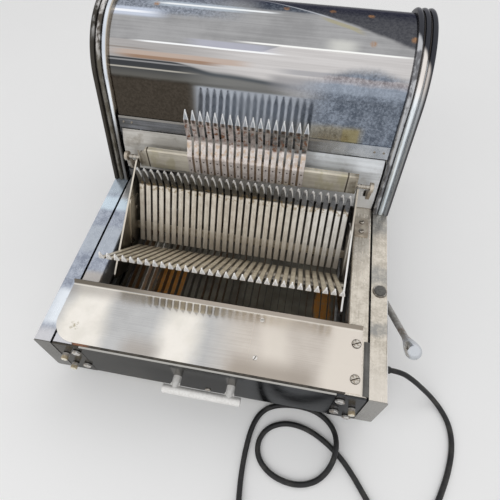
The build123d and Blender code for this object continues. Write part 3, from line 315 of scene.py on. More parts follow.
# Side frames and covers: folded stainless sheet, drawn from front to rear and worn smooth. Painted
# reflections make the left side bluish and mottled, with pale and rosy bands and a pale patch, and the right
# one warm, with dark bands; both are paler at the front. A painted highlight runs along the right outer rim,
# and the narrow front faces carry a painted dark reflection. A plain panel closes the rear, with a galvanised
# beam and the motor's bridge inside.
def drawn_sheet(name, dark, light, stretch, smooth, smudged=0.14, relief=0.10, metal=1.0, **constants):
    """Sheet metal with fine drawn lines and soft smudges between two shades."""
    sheet = Surface(name, Metallic=metal, **constants)
    sheet.lines = sheet.place.stretched(*stretch).noise(1.0, 5.0, 0.65)
    sheet.smudge = sheet.place.noise(16.0, 5.0, 0.6)
    sheet.tone = sheet.lines * 0.5 + sheet.smudge * 0.5
    sheet.mixed = sheet.tone.span(0.36, 0.62)
    sheet.colour = sheet.mixed.paint(dark, light)
    sheet.rough = sheet.tone.span(0.35, 0.65, smooth, smooth + smudged)
    sheet.set("Base Color", sheet.colour)
    sheet.set("Roughness", sheet.rough)
    sheet.bump(sheet.lines, relief, 0.0003)
    return sheet


COVER_EDGE = 0.246

casing = drawn_sheet(
    "casing_stainless", (0.46, 0.41, 0.34), (0.66, 0.61, 0.53), (260.0, 4.0, 260.0), 0.16, metal=0.6
)
across = casing.place.part("X")
back = casing.place.part("Y") + (casing.smudge - 0.5) * 0.03
cloudy = casing.place.noise(60.0, 5.0, 0.7) * 0.6 + casing.place.noise(320.0, 4.0) * 0.4
# Painted reflections on the left deck: a bluish mottle with pale and rosy bands and a pale patch, paler at
# the front.
cool = cloudy.span(0.38, 0.60).paint((0.25, 0.28, 0.35), (0.46, 0.50, 0.58))
cool = (back.band(0.185, 0.230, 0.015) * 0.6).paint(cool, (0.50, 0.545, 0.60))
cool = (back.band(0.285, 0.305, 0.015) * 0.8).paint(cool, (0.70, 0.83, 0.93))
cool = (back.span(0.310, 0.325) * 0.6).paint(cool, (0.50, 0.59, 0.66))
pale_reflection_patch = back.band(0.040, 0.085, 0.016) * across.span(-0.278, -0.262, 0.7, 1.0)
cool = (pale_reflection_patch * 0.95).paint(cool, (0.86, 0.91, 0.97))
cool = (back.span(0.012, 0.034, 1.0, 0.0) * 0.8).paint(cool, (0.70, 0.69, 0.71))
deck_left = across.span(-COVER_EDGE - 0.002, -COVER_EDGE)
rosy = deck_left * (back.band(0.108, 0.128, 0.015) + back.span(0.300, 0.320) * 0.8)
cool = (rosy * 0.8).paint(cool, (0.50, 0.46, 0.42))
mottled = (cloudy * 0.8 + casing.lines * 0.2).span(0.40, 0.60)
# Painted reflections on the right deck: a warm mottle, paler at the front, with dark bands.
warm = mottled.paint((0.50, 0.455, 0.385), (0.76, 0.70, 0.61))
warm = (back.span(0.0, 0.10, 1.0, 0.0) * 0.7).paint(warm, (0.80, 0.745, 0.675))
cover_right = across.span(COVER_EDGE, COVER_EDGE + 0.002)
dark_reflection_bands = back.band(0.112, 0.122, 0.010) + back.band(0.210, 0.225, 0.020) + back.span(0.295, 0.325)
dark_reflection_bands = dark_reflection_bands * cover_right * (0.9 - mottled * 0.5)
warm = dark_reflection_bands.paint(warm, (0.30, 0.30, 0.29))
# Painted highlight along the right outer rim.
warm = across.span(0.2760, 0.2772).paint(warm, (0.78, 0.79, 0.82))
worn = casing.place.specks(140.0, 0.16, 0.12) * casing.place.noise(7.0).span(0.52, 0.68)
right = across.span(-0.05, 0.05)
plain = casing.lines.shades((0.40, 0.395, 0.39), (0.54, 0.535, 0.525))
shade = casing.place.part("Z").span(-0.009, -0.005).paint(plain, right.paint(cool, warm))
shade = worn.paint(shade, (0.16, 0.09, 0.05))
# Painted dark reflection on the narrow front faces, lighter at the right.
front_face = casing.place.part("Y").span(0.0005, 0.0020, 1.0, 0.0)
painted_dark_front = right.paint((0.085, 0.080, 0.068), (0.27, 0.26, 0.24))
casing.set("Base Color", front_face.paint(shade, painted_dark_front))
casing.dress("left_side_frame", "right_side_frame", "left_cover", "right_cover")

panel = drawn_sheet("panel_stainless", (0.36, 0.36, 0.36), (0.56, 0.56, 0.55), (4.0, 260.0, 260.0), 0.22)
panel.dress("rear_panel")

beam = drawn_sheet("galvanised_sheet", (0.28, 0.28, 0.27), (0.46, 0.46, 0.45), (40.0, 40.0, 40.0), 0.34)
beam.dress("rear_beam", "motor_bridge")


# Front plates beside the drawer: polished stainless, painted dark as a reflection and bluer at the right,
# held by hexagon bolts and by round brass standoffs that have lost most of their plating. Behind them a rail,
# painted dark as the shade of its narrow gap, carries the front of the shelf.
FRONT_TINT = (0.75, 0.75, 0.75, 1.0)
BOLT_FACE = -0.0060
STANDOFF_FACE = -0.0115

plate = drawn_sheet(
    "front_plate_stainless", (0.035, 0.032, 0.028), (0.10, 0.09, 0.075), (6.0, 200.0, 200.0), 0.14,
    Specular_Tint=FRONT_TINT,
)
# Painted dark reflection, bluer at the right.
cool_right = plate.place.part("X").span(-0.1, 0.1)
plate.set("Base Color", (cool_right * 0.7).paint(plate.colour, (0.045, 0.051, 0.062)))
plate.dress("front_plates")

rail = Surface("shaded_rail", Metallic=0.5)
film = rail.place.noise(120.0, 4.0)
# Painted shade: dark, as in the narrow gap between the shelf and the drawer. The left end is rusty.
gap_shade = film.shades((0.035, 0.031, 0.027), (0.09, 0.08, 0.065))
rusty_end = rail.place.part("X").band(-0.212, -0.192, 0.008) * film.span(0.3, 0.5)
rail.set("Base Color", rusty_end.paint(gap_shade, (0.25, 0.12, 0.07)))
rail.set("Roughness", film.between(0.4, 0.6))
rail.bump(film, 0.12, 0.0003)
rail.dress("front_rail")

bolts = Surface("plated_bolts", Metallic=0.6)
plating = bolts.place.noise(180.0, 4.0)
out = bolts.place.part("Y")
brass = out.span(BOLT_FACE - 0.0005, BOLT_FACE + 0.0005, 1.0, 0.0)
zinc = plating.span(0.4, 0.65).paint((0.70, 0.69, 0.67), (0.36, 0.31, 0.26))
old_brass = plating.shades((0.68, 0.59, 0.42), (0.38, 0.30, 0.19))
worn_end = out.span(STANDOFF_FACE - 0.0003, STANDOFF_FACE + 0.0003, 1.0, 0.0)
old_brass = worn_end.paint(old_brass, (0.80, 0.76, 0.66))
ring = out.span(-0.0016, -0.0008)
colour = brass.paint(zinc, old_brass)
bolts.set("Base Color", ring.paint(colour, (0.03, 0.027, 0.024)))
bolts.set("Roughness", plating.between(0.22, 0.48))
bolts.bump(plating, 0.15, 0.0004)
bolts.dress("front_bolts")


# Feet: four black rubber cones, turned to shape, under the corners of the side frames. They are dusty where
# they meet the bench.
feet = Surface("foot_rubber", Specular_IOR_Level=0.3)
scuff = feet.place.noise(90.0, 4.0)
low = feet.place.part("Z").span(BENCH, BENCH + 0.016, 1.0, 0.0)
feet.set("Base Color", (scuff * low).span(0.2, 0.7).paint((0.014, 0.014, 0.014), (0.07, 0.065, 0.06)))
feet.set("Roughness", scuff.between(0.55, 0.8))
feet.bump(scuff, 0.2, 0.0005)
feet.dress("feet")


# Front shelf: one polished stainless sheet, turned up into a lip at the trough, with its front left corner
# rounded. Its warm right half and its pale and dark patches are painted reflections, a painted highlight runs
# along the bend and the lip is painted dark as shade. Crumbs and pans have left fine scratches, rust dots and
# a small crossed mark at the left. It is unworn beside the lip, where it mirrors the front comb.
LIP_FACE = 0.1078
MARK = (-0.222, 0.034)
MARK_STROKE = (-0.0022, 0.0022, 0.0025)
MARK_REACH = (-0.010, 0.010, 0.004)

shelf = drawn_sheet(
    "shelf_stainless", (0.46, 0.46, 0.46), (0.56, 0.56, 0.56), (7.0, 620.0, 620.0), 0.12, relief=0.05
)
across = shelf.place.part("X")
back = shelf.place.part("Y")
sway = across + (shelf.place.noise(9.0, 3.0) - 0.5) * 0.05
# Painted reflections: a warm right half, pale and beige patches, dark patches at the front and a darker zone
# near the lip.
warm_reflection_half = sway.span(-0.02, 0.06)
colour = warm_reflection_half.paint(shelf.colour, shelf.mixed.paint((0.57, 0.515, 0.46), (0.67, 0.615, 0.555)))
pale_reflection_patches = sway.band(-0.23, -0.188, 0.030) + sway.band(-0.060, -0.040, 0.035)
colour = pale_reflection_patches.paint(colour, shelf.smudge.shades((0.80, 0.765, 0.70), (0.90, 0.86, 0.80)))
beige = sway.band(0.090, 0.110, 0.030) + sway.band(0.195, 0.230, 0.025)
colour = (beige * 0.9).paint(colour, (0.80, 0.735, 0.66))
dark_reflection_front = sway.band(-0.110, -0.095, 0.040) * 0.6 + sway.band(0.045, 0.155, 0.030) * 0.85
dark_reflection_front = dark_reflection_front * back.span(0.012, 0.048, 1.0, 0.0)
colour = dark_reflection_front.paint(colour, (0.38, 0.33, 0.28))
dark_reflection_near_lip = back.span(0.078, 0.100) * across.span(-0.02, 0.03, 1.0, 0.0)
colour = (dark_reflection_near_lip * 0.55).paint(colour, (0.30, 0.275, 0.25))
scratch = shelf.place.stretched(60.0, 14.0, 40.0).noise(6.0, 6.0, 0.75).span(0.66, 0.72)
colour = (scratch * 0.4).paint(colour, (0.84, 0.83, 0.82))
rust = shelf.place.specks(46.0, 0.055, 0.10)
colour = rust.paint(colour, (0.16, 0.085, 0.045))
slant = (across - MARK[0]) + (back - MARK[1])
other_slant = (across - MARK[0]) - (back - MARK[1])
smeared = shelf.place.noise(300.0, 4.0).span(0.35, 0.6)
mark = slant.band(*MARK_STROKE) * other_slant.band(*MARK_REACH)
mark = mark + other_slant.band(*MARK_STROKE) * slant.band(*MARK_REACH)
colour = (mark * smeared * 0.6).paint(colour, (0.48, 0.44, 0.33))
# Painted highlight along the bend into the lip.
bend = back.band(LIP_FACE - 0.0016, LIP_FACE - 0.0004, 0.0010)
colour = (bend * 0.6).paint(colour, (0.86, 0.82, 0.74))
# Painted shade on the lip, darkest at the left.
lip = back.span(LIP_FACE, LIP_FACE + 0.0014)
lip_shade_colour = across.span(-0.21, -0.04).paint((0.155, 0.135, 0.11), (0.40, 0.35, 0.30))
lip_shade_colour = across.span(0.15, 0.21).paint(lip_shade_colour, (0.29, 0.25, 0.205))
shelf.set("Base Color", lip.paint(colour, lip_shade_colour))
shelf.set("Metallic", across.span(0.02, 0.12, 0.9, 0.5))
unworn = back.span(0.055, 0.080) * across.band(-0.085, -0.025, 0.070)
shelf.set("Roughness", shelf.rough * unworn.span(0.0, 1.0, 1.0, 0.22))
shelf.dress("front_shelf")

strip = drawn_sheet("strip_stainless", (0.085, 0.083, 0.078), (0.16, 0.157, 0.15), (200.0, 6.0, 200.0), 0.2)
strip.dress("shelf_strip")


# Deck fittings: a dull cast bracket behind the right end of the trough, and slotted screws that are darker in
# their slots and round their rims. Two smaller screws with pale zinc heads hold the shelf down.
bracket = Surface("dull_bracket", Metallic=0.5)
wear = bracket.place.noise(55.0, 5.0, 0.6)
bracket.set("Base Color", wear.shades((0.62, 0.56, 0.47), (0.36, 0.30, 0.235)))
bracket.set("Roughness", wear.between(0.3, 0.5))
bracket.bump(wear, 0.2, 0.0006)
bracket.dress("deck_bracket", "pivot_lugs")

screws = Surface("slotted_screws", Metallic=1.0)
grime = screws.place.noise(320.0, 4.0)
up = screws.place.part("Z")
seat = screws.place.part("Y").span(0.20, 0.21, 0.0015, 0.0030)
sunk = (up - seat).span(0.0012, 0.0015, 1.0, 0.0) * up.span(-0.02, -0.01)
face = grime.shades((0.66, 0.63, 0.58), (0.36, 0.31, 0.25))
screws.set("Base Color", sunk.paint(face, (0.05, 0.038, 0.028)))
screws.set("Roughness", grime.between(0.25, 0.5))
screws.bump(grime, 0.1, 0.0003)
screws.dress("deck_screws", "drawer_screw")

SHELF_TOP = 0.0015
SMALL_HEAD = 0.0037
SMALL_RISE = 0.0010
SMALL_SLOT = 0.0007
SLOT_FLOOR = 0.0004
HEAD_STEPS = 14
SMALL_SCREWS = ((0.0757, 0.0977, 0.16), (0.0748, 0.0329, 1.15))


def head_rings():
    """Rings of corners round a small screw's axis: its slot's floor, then the two halves of its head."""
    steps = [2 * pi * step / HEAD_STEPS for step in range(HEAD_STEPS)]
    yield [[(SMALL_HEAD * cos(angle), SMALL_HEAD * sin(angle), SLOT_FLOOR) for angle in steps]]
    first = asin(SMALL_SLOT / SMALL_HEAD)
    angles = [first + (pi - 2 * first) * step / HEAD_STEPS for step in range(HEAD_STEPS + 1)]
    outline = ((SMALL_HEAD, 0.0), (SMALL_HEAD, 0.6 * SMALL_RISE), (0.85 * SMALL_HEAD, SMALL_RISE))
    for side in (1, -1):
        rings = []
        for radius, rise in outline:
            edge = [(radius * cos(angle), max(radius * sin(angle), SMALL_SLOT)) for angle in angles]
            rings.append([(x * side, y * side, rise) for x, y in edge])
        yield rings


def on_shelf(corner, across, back, turn):
    """A corner of a small screw, turned about its axis and set down on the shelf."""
    x, y, rise = corner
    right = x * cos(turn) - y * sin(turn)
    behind = x * sin(turn) + y * cos(turn)
    return in_frame((across + right, back + behind, SHELF_TOP + rise))


small_mesh = bmesh.new()
for screw in SMALL_SCREWS:
    for rings in head_rings():
        corners = [[small_mesh.verts.new(on_shelf(corner, *screw)) for corner in ring] for ring in rings]
        for lower, upper in zip(corners, corners[1:]):
            for number, corner in enumerate(lower):
                small_mesh.faces.new((lower[number - 1], corner, upper[number], upper[number - 1]))
        small_mesh.faces.new(corners[-1])
small_heads = bpy.data.meshes.new("small_shelf_screws")
small_mesh.to_mesh(small_heads)
small_mesh.free()
small_screws = bpy.data.objects.new("small_shelf_screws", small_heads)
scene.collection.objects.link(small_screws)
pale_zinc = Surface("pale_zinc", Metallic=0.3)
tarnish = pale_zinc.place.noise(700.0, 4.0)
head = tarnish.shades((0.95, 0.93, 0.90), (0.72, 0.69, 0.65))
in_slot = (pale_zinc.place.part("Z") - SHELF_TOP).span(SLOT_FLOOR, SLOT_FLOOR + 0.0002, 1.0, 0.0)
pale_zinc.set("Base Color", in_slot.paint(head, (0.10, 0.085, 0.07)))
pale_zinc.set("Roughness", tarnish.between(0.25, 0.45))
pale_zinc.bump(tarnish, 0.05, 0.0002)
small_heads.materials.append(pale_zinc.material)
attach(small_screws, "casing")


# Start button: a dark grey moulded cap that is pushed down inside a threaded bezel. The bezel is dull plated
# steel and sits in the right cover.
cap = Surface("button_cap", Roughness=0.55)
haze = cap.place.noise(240.0, 4.0)
cap.set("Base Color", haze.shades((0.075, 0.072, 0.066), (0.13, 0.125, 0.115)))
cap.bump(haze, 0.1, 0.0003)
cap.dress("start_button")

bezel = Surface("bezel_plating", Metallic=1.0)
rub = bezel.place.noise(200.0, 4.0)
bezel.set("Base Color", rub.shades((0.42, 0.40, 0.37), (0.16, 0.14, 0.12)))
bezel.set("Roughness", rub.between(0.25, 0.5))
bezel.bump(rub, 0.1, 0.0003)
bezel.dress("button_bezel")


# Back plate: a bright folded sheet behind the trough, rubbed dull by loaves and smudged with dried dough. It
# is cleaner and paler towards the right. A painted shadow runs along its bottom at the left, and painted
# light brightens its bottom at the right.
wall = drawn_sheet(
    "back_plate_stainless", (0.44, 0.42, 0.385), (0.66, 0.64, 0.60), (5.0, 160.0, 160.0), 0.34, metal=0.35
)
across = wall.place.part("X")
up = wall.place.part("Z")
left = across.span(-0.02, 0.12, 1.0, 0.0)
right = 1.0 - left
dough = wall.place.noise(24.0, 6.0, 0.65).span(0.52, 0.66) * (left * 0.4 + 0.3)
colour = right.paint(wall.colour, wall.mixed.paint((0.62, 0.64, 0.66), (0.84, 0.87, 0.90)))
colour = dough.paint(colour, (0.30, 0.27, 0.225))
far_left = across.span(-0.16, -0.10, 1.0, 0.0)
# Painted shadow: a dark grey strip and a black line along the bottom at the left.
colour = (up.span(0.022, 0.026, 1.0, 0.0) * far_left).paint(colour, (0.17, 0.165, 0.16))
colour = (up.band(0.0235, 0.0290, 0.0012) * far_left).paint(colour, (0.014, 0.013, 0.012))
# Painted light: the bottom at the right is brightened.
wall.set("Base Color", (up.span(0.03, 0.08, 0.7, 0.0) * right).paint(colour, (0.95, 0.96, 0.97)))
wall.dress("back_plate")


# Hold-down: a satin channel on two steel pins, and a row of sprung fingers that press on the loaf. The
# fingers are nickel-plated and each is held by two dark rivets. They are rusty where they lean, with a
# painted highlight along one edge there, and end in points with painted highlights on their edges. Their back
# faces are painted pale as if lit.
CHANNEL_SEAM = 0.183
FINGER_ROW = 0.104

channel = drawn_sheet(
    "channel_satin", (0.54, 0.49, 0.40), (0.80, 0.75, 0.64), (6.0, 120.0, 120.0), 0.36, metal=0.3
)
aside = channel.place.part("X").size()
grease = channel.place.stretched(1.0, 1.0, 0.4).noise(38.0, 4.0).span(0.5, 0.62)
colour = (grease * 0.5).paint(channel.colour, (0.54, 0.49, 0.30))
seam = aside.band(CHANNEL_SEAM, CHANNEL_SEAM + 0.0015, 0.0012)
dull_end = aside.span(CHANNEL_SEAM + 0.001, CHANNEL_SEAM + 0.009)
dull_end = dull_end * channel.place.noise(90.0, 5.0).span(0.35, 0.6, 0.4, 1.0)
colour = (dull_end * 0.75).paint(colour, (0.20, 0.165, 0.12))
colour = seam.paint(colour, (0.09, 0.07, 0.05))
behind_fingers = aside.span(FINGER_ROW, FINGER_ROW + 0.003, 1.0, 0.0)
colour = (behind_fingers * 0.8).paint(colour, (0.155, 0.085, 0.045))
channel.set("Base Color", colour)
channel.dress("hold_down_bar")

PITCH = 0.0127
LEAN_START = 0.127
POINT_START = 0.177
POINT_TOP = 0.195


def finger_side(surface):
    """How far to the right of the middle of its finger a point lies, in metres."""
    count = surface.place.part("X") / PITCH + 0.5
    return (count - count.maths("FLOOR") - 0.5) * PITCH


fingers = Surface("nickel_fingers", Metallic=0.3)
across = fingers.place.part("X")
up = fingers.place.part("Z")
blotch = fingers.place.noise(95.0, 5.0, 0.6)
coarse = fingers.place.noise(34.0, 4.0, 0.6)
side = finger_side(fingers)
nickel = blotch.shades((0.84, 0.775, 0.745), (0.63, 0.56, 0.52))
stained = up.band(0.110, 0.124, 0.006) * fingers.place.noise(120.0, 4.0).span(0.5, 0.6)
colour = (stained * 0.6).paint(nickel, (0.60, 0.40, 0.22))
leaning = (up + (coarse - 0.5) * 0.02).span(LEAN_START, LEAN_START + 0.006)
pinkish = blotch.span(0.38, 0.62).paint((0.34, 0.30, 0.29), (0.62, 0.55, 0.53))
blackened = blotch.span(0.38, 0.62).paint((0.12, 0.115, 0.11), (0.32, 0.30, 0.28))
dull = across.span(-0.05, 0.09).paint(pinkish, blackened)
rust = fingers.place.noise(130.0, 5.0, 0.65).span(0.5, 0.58) * coarse.span(0.40, 0.55)
dull = rust.paint(dull, (0.20, 0.085, 0.04))
colour = leaning.paint(colour, dull)
# Painted highlight along one edge where the fingers lean.
lit_edge = side.span(0.0030, 0.0036)
colour = (lit_edge * leaning * 0.6).paint(colour, (0.62, 0.60, 0.57))
# Painted highlights on the edges of the points.
narrowing = up.span(POINT_START, POINT_TOP, 0.0, 0.0034)
bright = (side.size() + narrowing).span(0.0024, 0.0032) * side.span(-0.001, 0.001, 0.5, 1.0)
point = bright.paint((0.38, 0.41, 0.45), (0.93, 0.94, 0.95))
colour = up.span(POINT_START - 0.0008, POINT_START + 0.0002).paint(colour, point)
neck = up.band(POINT_START - 0.0065, POINT_START - 0.0005, 0.0012)
neck = neck * side.size().span(0.0014, 0.0030, 1.0, 0.0)
colour = (neck * 0.9).paint(colour, (0.05, 0.033, 0.024))
yellowed = up.span(0.062, 0.078, 1.0, 0.0) * across.span(0.03, 0.09) * coarse.span(0.4, 0.55)
colour = (yellowed * 0.6).paint(colour, (0.52, 0.42, 0.22))
foot = up.span(0.062, 0.074, 1.0, 0.0) * blotch.span(0.4, 0.6)
colour = (foot * 0.35).paint(colour, (0.30, 0.25, 0.19))
# Painted light: the back faces are made pale, as if lit.
rear = fingers.facing.part("Y").span(0.2, 0.5)
fingers.set("Base Color", rear.paint(colour, (0.82, 0.84, 0.87)))
fingers.set("Roughness", (blotch + rust * 0.5).span(0.3, 1.0, 0.26, 0.55))
fingers.bump(blotch + rust, 0.15, 0.0004)
fingers.dress("hold_down_fingers")

rivets = Surface("dark_rivets", Metallic=0.4)
spot = rivets.place.noise(400.0)
rivets.set("Base Color", spot.paint((0.035, 0.03, 0.028), (0.08, 0.07, 0.06)))
rivets.set("Roughness", spot.between(0.4, 0.6))
rivets.bump(spot, 0.1, 0.0002)
rivets.dress("hold_down_rivets")

pins = Surface("ground_pins", Metallic=1.0)
turned = pins.place.stretched(500.0, 30.0, 30.0).noise(1.0)
pins.set("Base Color", turned.shades((0.34, 0.30, 0.25), (0.52, 0.49, 0.44)))
pins.set("Roughness", turned.between(0.2, 0.4))
pins.bump(turned, 0.08, 0.0002)
pins.dress("pivot_pins", "hinge_pins")


# Trough: two combs of aluminium fingers that meet in a V. The rear fingers have upright points, dark with
# painted highlights along one edge and at the tip, and painted shade along the fingers' sides. The front ones
# turn up into short pale triangles with painted highlights round their rims. Dough has stained them tan.
# Crossbars and end plates of steel hold them, on a turned shaft in bronze bushes; painted highlights run
# along the end plates' edges.
COMB_FOOT = -0.048
REAR_KINK = 0.052
REAR_POINT = 0.071
REAR_TOP = 0.094
FRONT_POINT = 0.074
FRONT_TOP = 0.087

comb = Surface("rear_comb_aluminium", Metallic=0.35)
across = comb.place.part("X")
up = comb.place.part("Z")
stain = comb.place.noise(70.0, 5.0, 0.6)
drawn = comb.place.stretched(500.0, 12.0, 12.0).noise(1.0, 4.0)
mix = (drawn * 0.5 + stain * 0.5).span(0.36, 0.62)
pale = mix.paint((0.56, 0.505, 0.425), (0.80, 0.745, 0.655))
pale = across.span(0.06, 0.17).paint(pale, mix.paint((0.66, 0.64, 0.60), (0.88, 0.86, 0.82)))
pale = up.span(COMB_FOOT, 0.01, 0.75, 0.0).paint(pale, (0.24, 0.205, 0.16))
olive = stain.shades((0.062, 0.057, 0.047), (0.115, 0.105, 0.088))
slate = stain.shades((0.15, 0.155, 0.165), (0.24, 0.25, 0.27))
point = across.span(0.02, 0.15).paint(olive, slate)
narrowing = up.span(REAR_POINT, REAR_TOP).maths("POWER", 1.3) * 0.0036
middle = finger_side(comb)
side = middle + narrowing
# Painted highlights along one edge of each point and at its tip.
edge = side.span(0.0031, 0.0037) * up.span(REAR_POINT - 0.005, REAR_POINT + 0.007)
apex = up.span(REAR_TOP - 0.008, REAR_TOP - 0.001)
point = (edge + apex).span(0.0, 1.0).paint(point, (0.86, 0.86, 0.85))
# Painted shade along the sides of each finger, as on a rounded edge.
shaded_finger_side = middle.size().span(0.0036, 0.0043)
pale = (shaded_finger_side * 0.6).paint(pale, (0.16, 0.13, 0.10))
upright = up.span(REAR_KINK - 0.0015, REAR_KINK + 0.0025)
colour = upright.paint(pale, point)
kink = up.band(REAR_KINK - 0.006, REAR_KINK + 0.006, 0.005)
kink = kink * comb.place.noise(150.0, 5.0).span(0.5, 0.6)
colour = (kink * 0.7).paint(colour, (0.27, 0.19, 0.09))
comb.set("Base Color", colour)
comb.set("Roughness", (stain - upright * 0.2).span(0.1, 0.7, 0.24, 0.5))
comb.bump(drawn, 0.1, 0.0003)
comb.dress("back_comb")

front_comb = Surface("front_comb_aluminium", Metallic=0.35)
up = front_comb.place.part("Z")
stain = front_comb.place.noise(80.0, 5.0, 0.6)
bands = front_comb.place.stretched(0.0, 0.0, 1.0).noise(190.0, 2.0)
tan = (stain * 0.6 + bands * 0.4).span(0.36, 0.64).paint((0.68, 0.585, 0.43), (0.93, 0.84, 0.67))
tan = up.span(COMB_FOOT, 0.0, 0.35, 0.0).paint(tan, (0.24, 0.19, 0.13))
side = finger_side(front_comb)
shadowed = (side.size() - 0.0030).span(0.0, 0.001)
tan = (shadowed * 0.75).paint(tan, (0.17, 0.125, 0.08))
# Painted highlights round the rims of the turned-up points.
rim = (side.size() + up.span(FRONT_POINT, FRONT_TOP, 0.0, 0.0036)).span(0.0026, 0.0036)
white_point = rim.paint((0.60, 0.60, 0.60), (0.97, 0.96, 0.95))
turned_up = up.span(FRONT_POINT - 0.0025, FRONT_POINT - 0.0005)
front_comb.set("Base Color", turned_up.paint(tan, white_point))
front_comb.set("Roughness", stain.between(0.28, 0.46))
front_comb.bump(bands + stain, 0.08, 0.0003)
front_comb.dress("front_comb")

crossbar = drawn_sheet("crossbar_steel", (0.16, 0.14, 0.11), (0.34, 0.31, 0.26), (6.0, 200.0, 200.0), 0.3)
crossbar.dress("comb_crossbars")

ends = drawn_sheet("end_plate_steel", (0.24, 0.215, 0.18), (0.50, 0.47, 0.41), (200.0, 26.0, 26.0), 0.26)
dark_low = ends.place.part("Z").span(-0.05, 0.03, 0.6, 0.0)
freckle = ends.place.specks(120.0, 0.14, 0.16)
colour = dark_low.paint(ends.colour, (0.11, 0.095, 0.075))
colour = freckle.paint(colour, (0.15, 0.09, 0.05))
# Painted highlights along the plates' edges, brightest low at the right.
edge_highlight = ends.facing.part("X").size().span(0.3, 0.7, 1.0, 0.0)
right_edge_highlight = ends.place.part("Z").span(0.03, 0.06).paint((0.90, 0.89, 0.87), (0.50, 0.45, 0.38))
edge_highlight_colour = ends.place.part("X").span(-0.05, 0.05).paint((0.74, 0.68, 0.59), right_edge_highlight)
ends.set("Base Color", (edge_highlight * 0.8).paint(colour, edge_highlight_colour))
ends.dress("end_plates", "end_guides")

guide_rivets = Surface("worn_rivets", Metallic=1.0)
spot = guide_rivets.place.noise(300.0)
guide_rivets.set("Base Color", spot.paint((0.22, 0.19, 0.15), (0.42, 0.38, 0.33)))
guide_rivets.set("Roughness", spot.between(0.28, 0.5))
guide_rivets.bump(spot, 0.1, 0.0002)
guide_rivets.dress("guide_rivets", "strip_rivets")

shaft = Surface("turned_shaft", Metallic=1.0)
turned = shaft.place.stretched(420.0, 20.0, 20.0).noise(1.0, 4.0)
shaft.set("Base Color", turned.shades((0.24, 0.22, 0.19), (0.46, 0.44, 0.41)))
shaft.set("Roughness", turned.between(0.22, 0.4))
shaft.bump(turned, 0.1, 0.0002)
shaft.dress("trough_shaft", "crank_shaft")

bush = Surface("oiled_bronze", Metallic=1.0)
oil = bush.place.noise(130.0, 4.0)
bush.set("Base Color", oil.shades((0.42, 0.29, 0.13), (0.22, 0.15, 0.075)))
bush.set("Roughness", oil.between(0.25, 0.45))
bush.bump(oil, 0.08, 0.0002)
bush.dress("shaft_bushes")


# Hand lever: a cast aluminium arm on the right end of the trough's shaft, dull with handling. It ends in a
# polished drop-shaped knob.
KNOB_FRONT = 0.080
KNOB_BACK = 0.112

lever = Surface("cast_lever", Metallic=1.0)
back = lever.place.part("Y")
cast = lever.place.noise(160.0, 5.0, 0.6)
arm = cast.shades((0.27, 0.26, 0.245), (0.42, 0.41, 0.395))
neck = back.band(0.098, 0.118, 0.012) * lever.place.noise(110.0, 4.0).span(0.5, 0.62)
colour = back.span(KNOB_FRONT, KNOB_BACK, 1.0, 0.0).paint(arm, (0.58, 0.605, 0.64))
lever.set("Base Color", (neck * 0.7).paint(colour, (0.19, 0.11, 0.06)))
lever.set("Roughness", (back.span(KNOB_FRONT, KNOB_BACK) + cast * 0.4).span(0.0, 1.4, 0.2, 0.55))
lever.bump(cast, 0.18, 0.0004)
lever.dress("hand_lever")


# Hood: one bent sheet of polished stainless, drawn from side to side. Painted reflections give it white, dark
# and brown streaks along its bend, navy behind the ridge at the right, mottled blue and olive low at the
# right, and dark brown low at the left. Rust has pitted it in a few places.
HOOD_MIDDLE = 0.518
HOOD_SPRING = 0.1803
HOOD_TINT = (0.35, 0.35, 0.38, 1.0)
DEGREES = 180 / pi
LEFT_LINE = 44.0
RIGHT_LINE = 51.2
RIDGE_SLANT = 186.0
RUST_WIDE = 0.00707
RUST_HIGH = 3.536
RUST_SPOTS = ((-0.177, 80.2), (0.039, 90.2), (0.114, 92.2), (0.176, 89.5), (0.184, 59.6), (0.245, 66.5))

hood = drawn_sheet(
    "hood_stainless", (0.29, 0.29, 0.295), (0.39, 0.39, 0.395), (5.0, 240.0, 240.0), 0.07, smudged=0.13,
    Specular_Tint=HOOD_TINT,
)
across = hood.place.part("X")
back = hood.place.part("Y")
up = hood.place.part("Z")
wander = (hood.place.stretched(5.0, 2.0, 2.0).noise(1.0, 2.0) - 0.5) * 1.2
ragged = (hood.place.noise(40.0, 5.0, 0.65) - 0.5) * 10.0
turn = (up - HOOD_SPRING).maths("ARCTAN2", HOOD_MIDDLE - back) * DEGREES + wander
mottle = hood.place.noise(230.0, 5.0, 0.75)


def streak(angle, width, start, end, fade):
    """A painted reflection: a line along the sheet at an angle round its bend, between two places across the
    hood.
    """
    return turn.band(angle - width / 2, angle + width / 2, width / 2) * across.band(start, end, fade)


# Above the bend, painted reflections: bluish at the left and dark at the right, with two white streaks.
bluish = across.span(-0.12, 0.0, 1.0, 0.0) * (turn + ragged * 0.6).span(66.0, 74.0)
colour = bluish.paint(hood.colour, mottle.span(0.4, 0.6).paint((0.17, 0.19, 0.225), (0.33, 0.36, 0.42)))
dusk = across.span(-0.05, 0.01) * (turn + ragged * 0.3).span(83.0, 88.0)
colour = dusk.paint(colour, mottle.span(0.45, 0.6).paint((0.085, 0.095, 0.115), (0.16, 0.18, 0.21)))
colour = (streak(69.5, 6.0, -0.270, -0.190, 0.05) * 0.7).paint(colour, (0.66, 0.73, 0.88))
colour = streak(69.5, 1.6, -0.270, -0.215, 0.06).paint(colour, (0.93, 0.95, 1.0))
colour = (streak(82.0, 5.0, -0.150, -0.060, 0.06) * 0.6).paint(colour, (0.56, 0.64, 0.72))
colour = streak(82.0, 1.5, -0.150, 0.000, 0.04).paint(colour, (0.92, 0.95, 0.97))

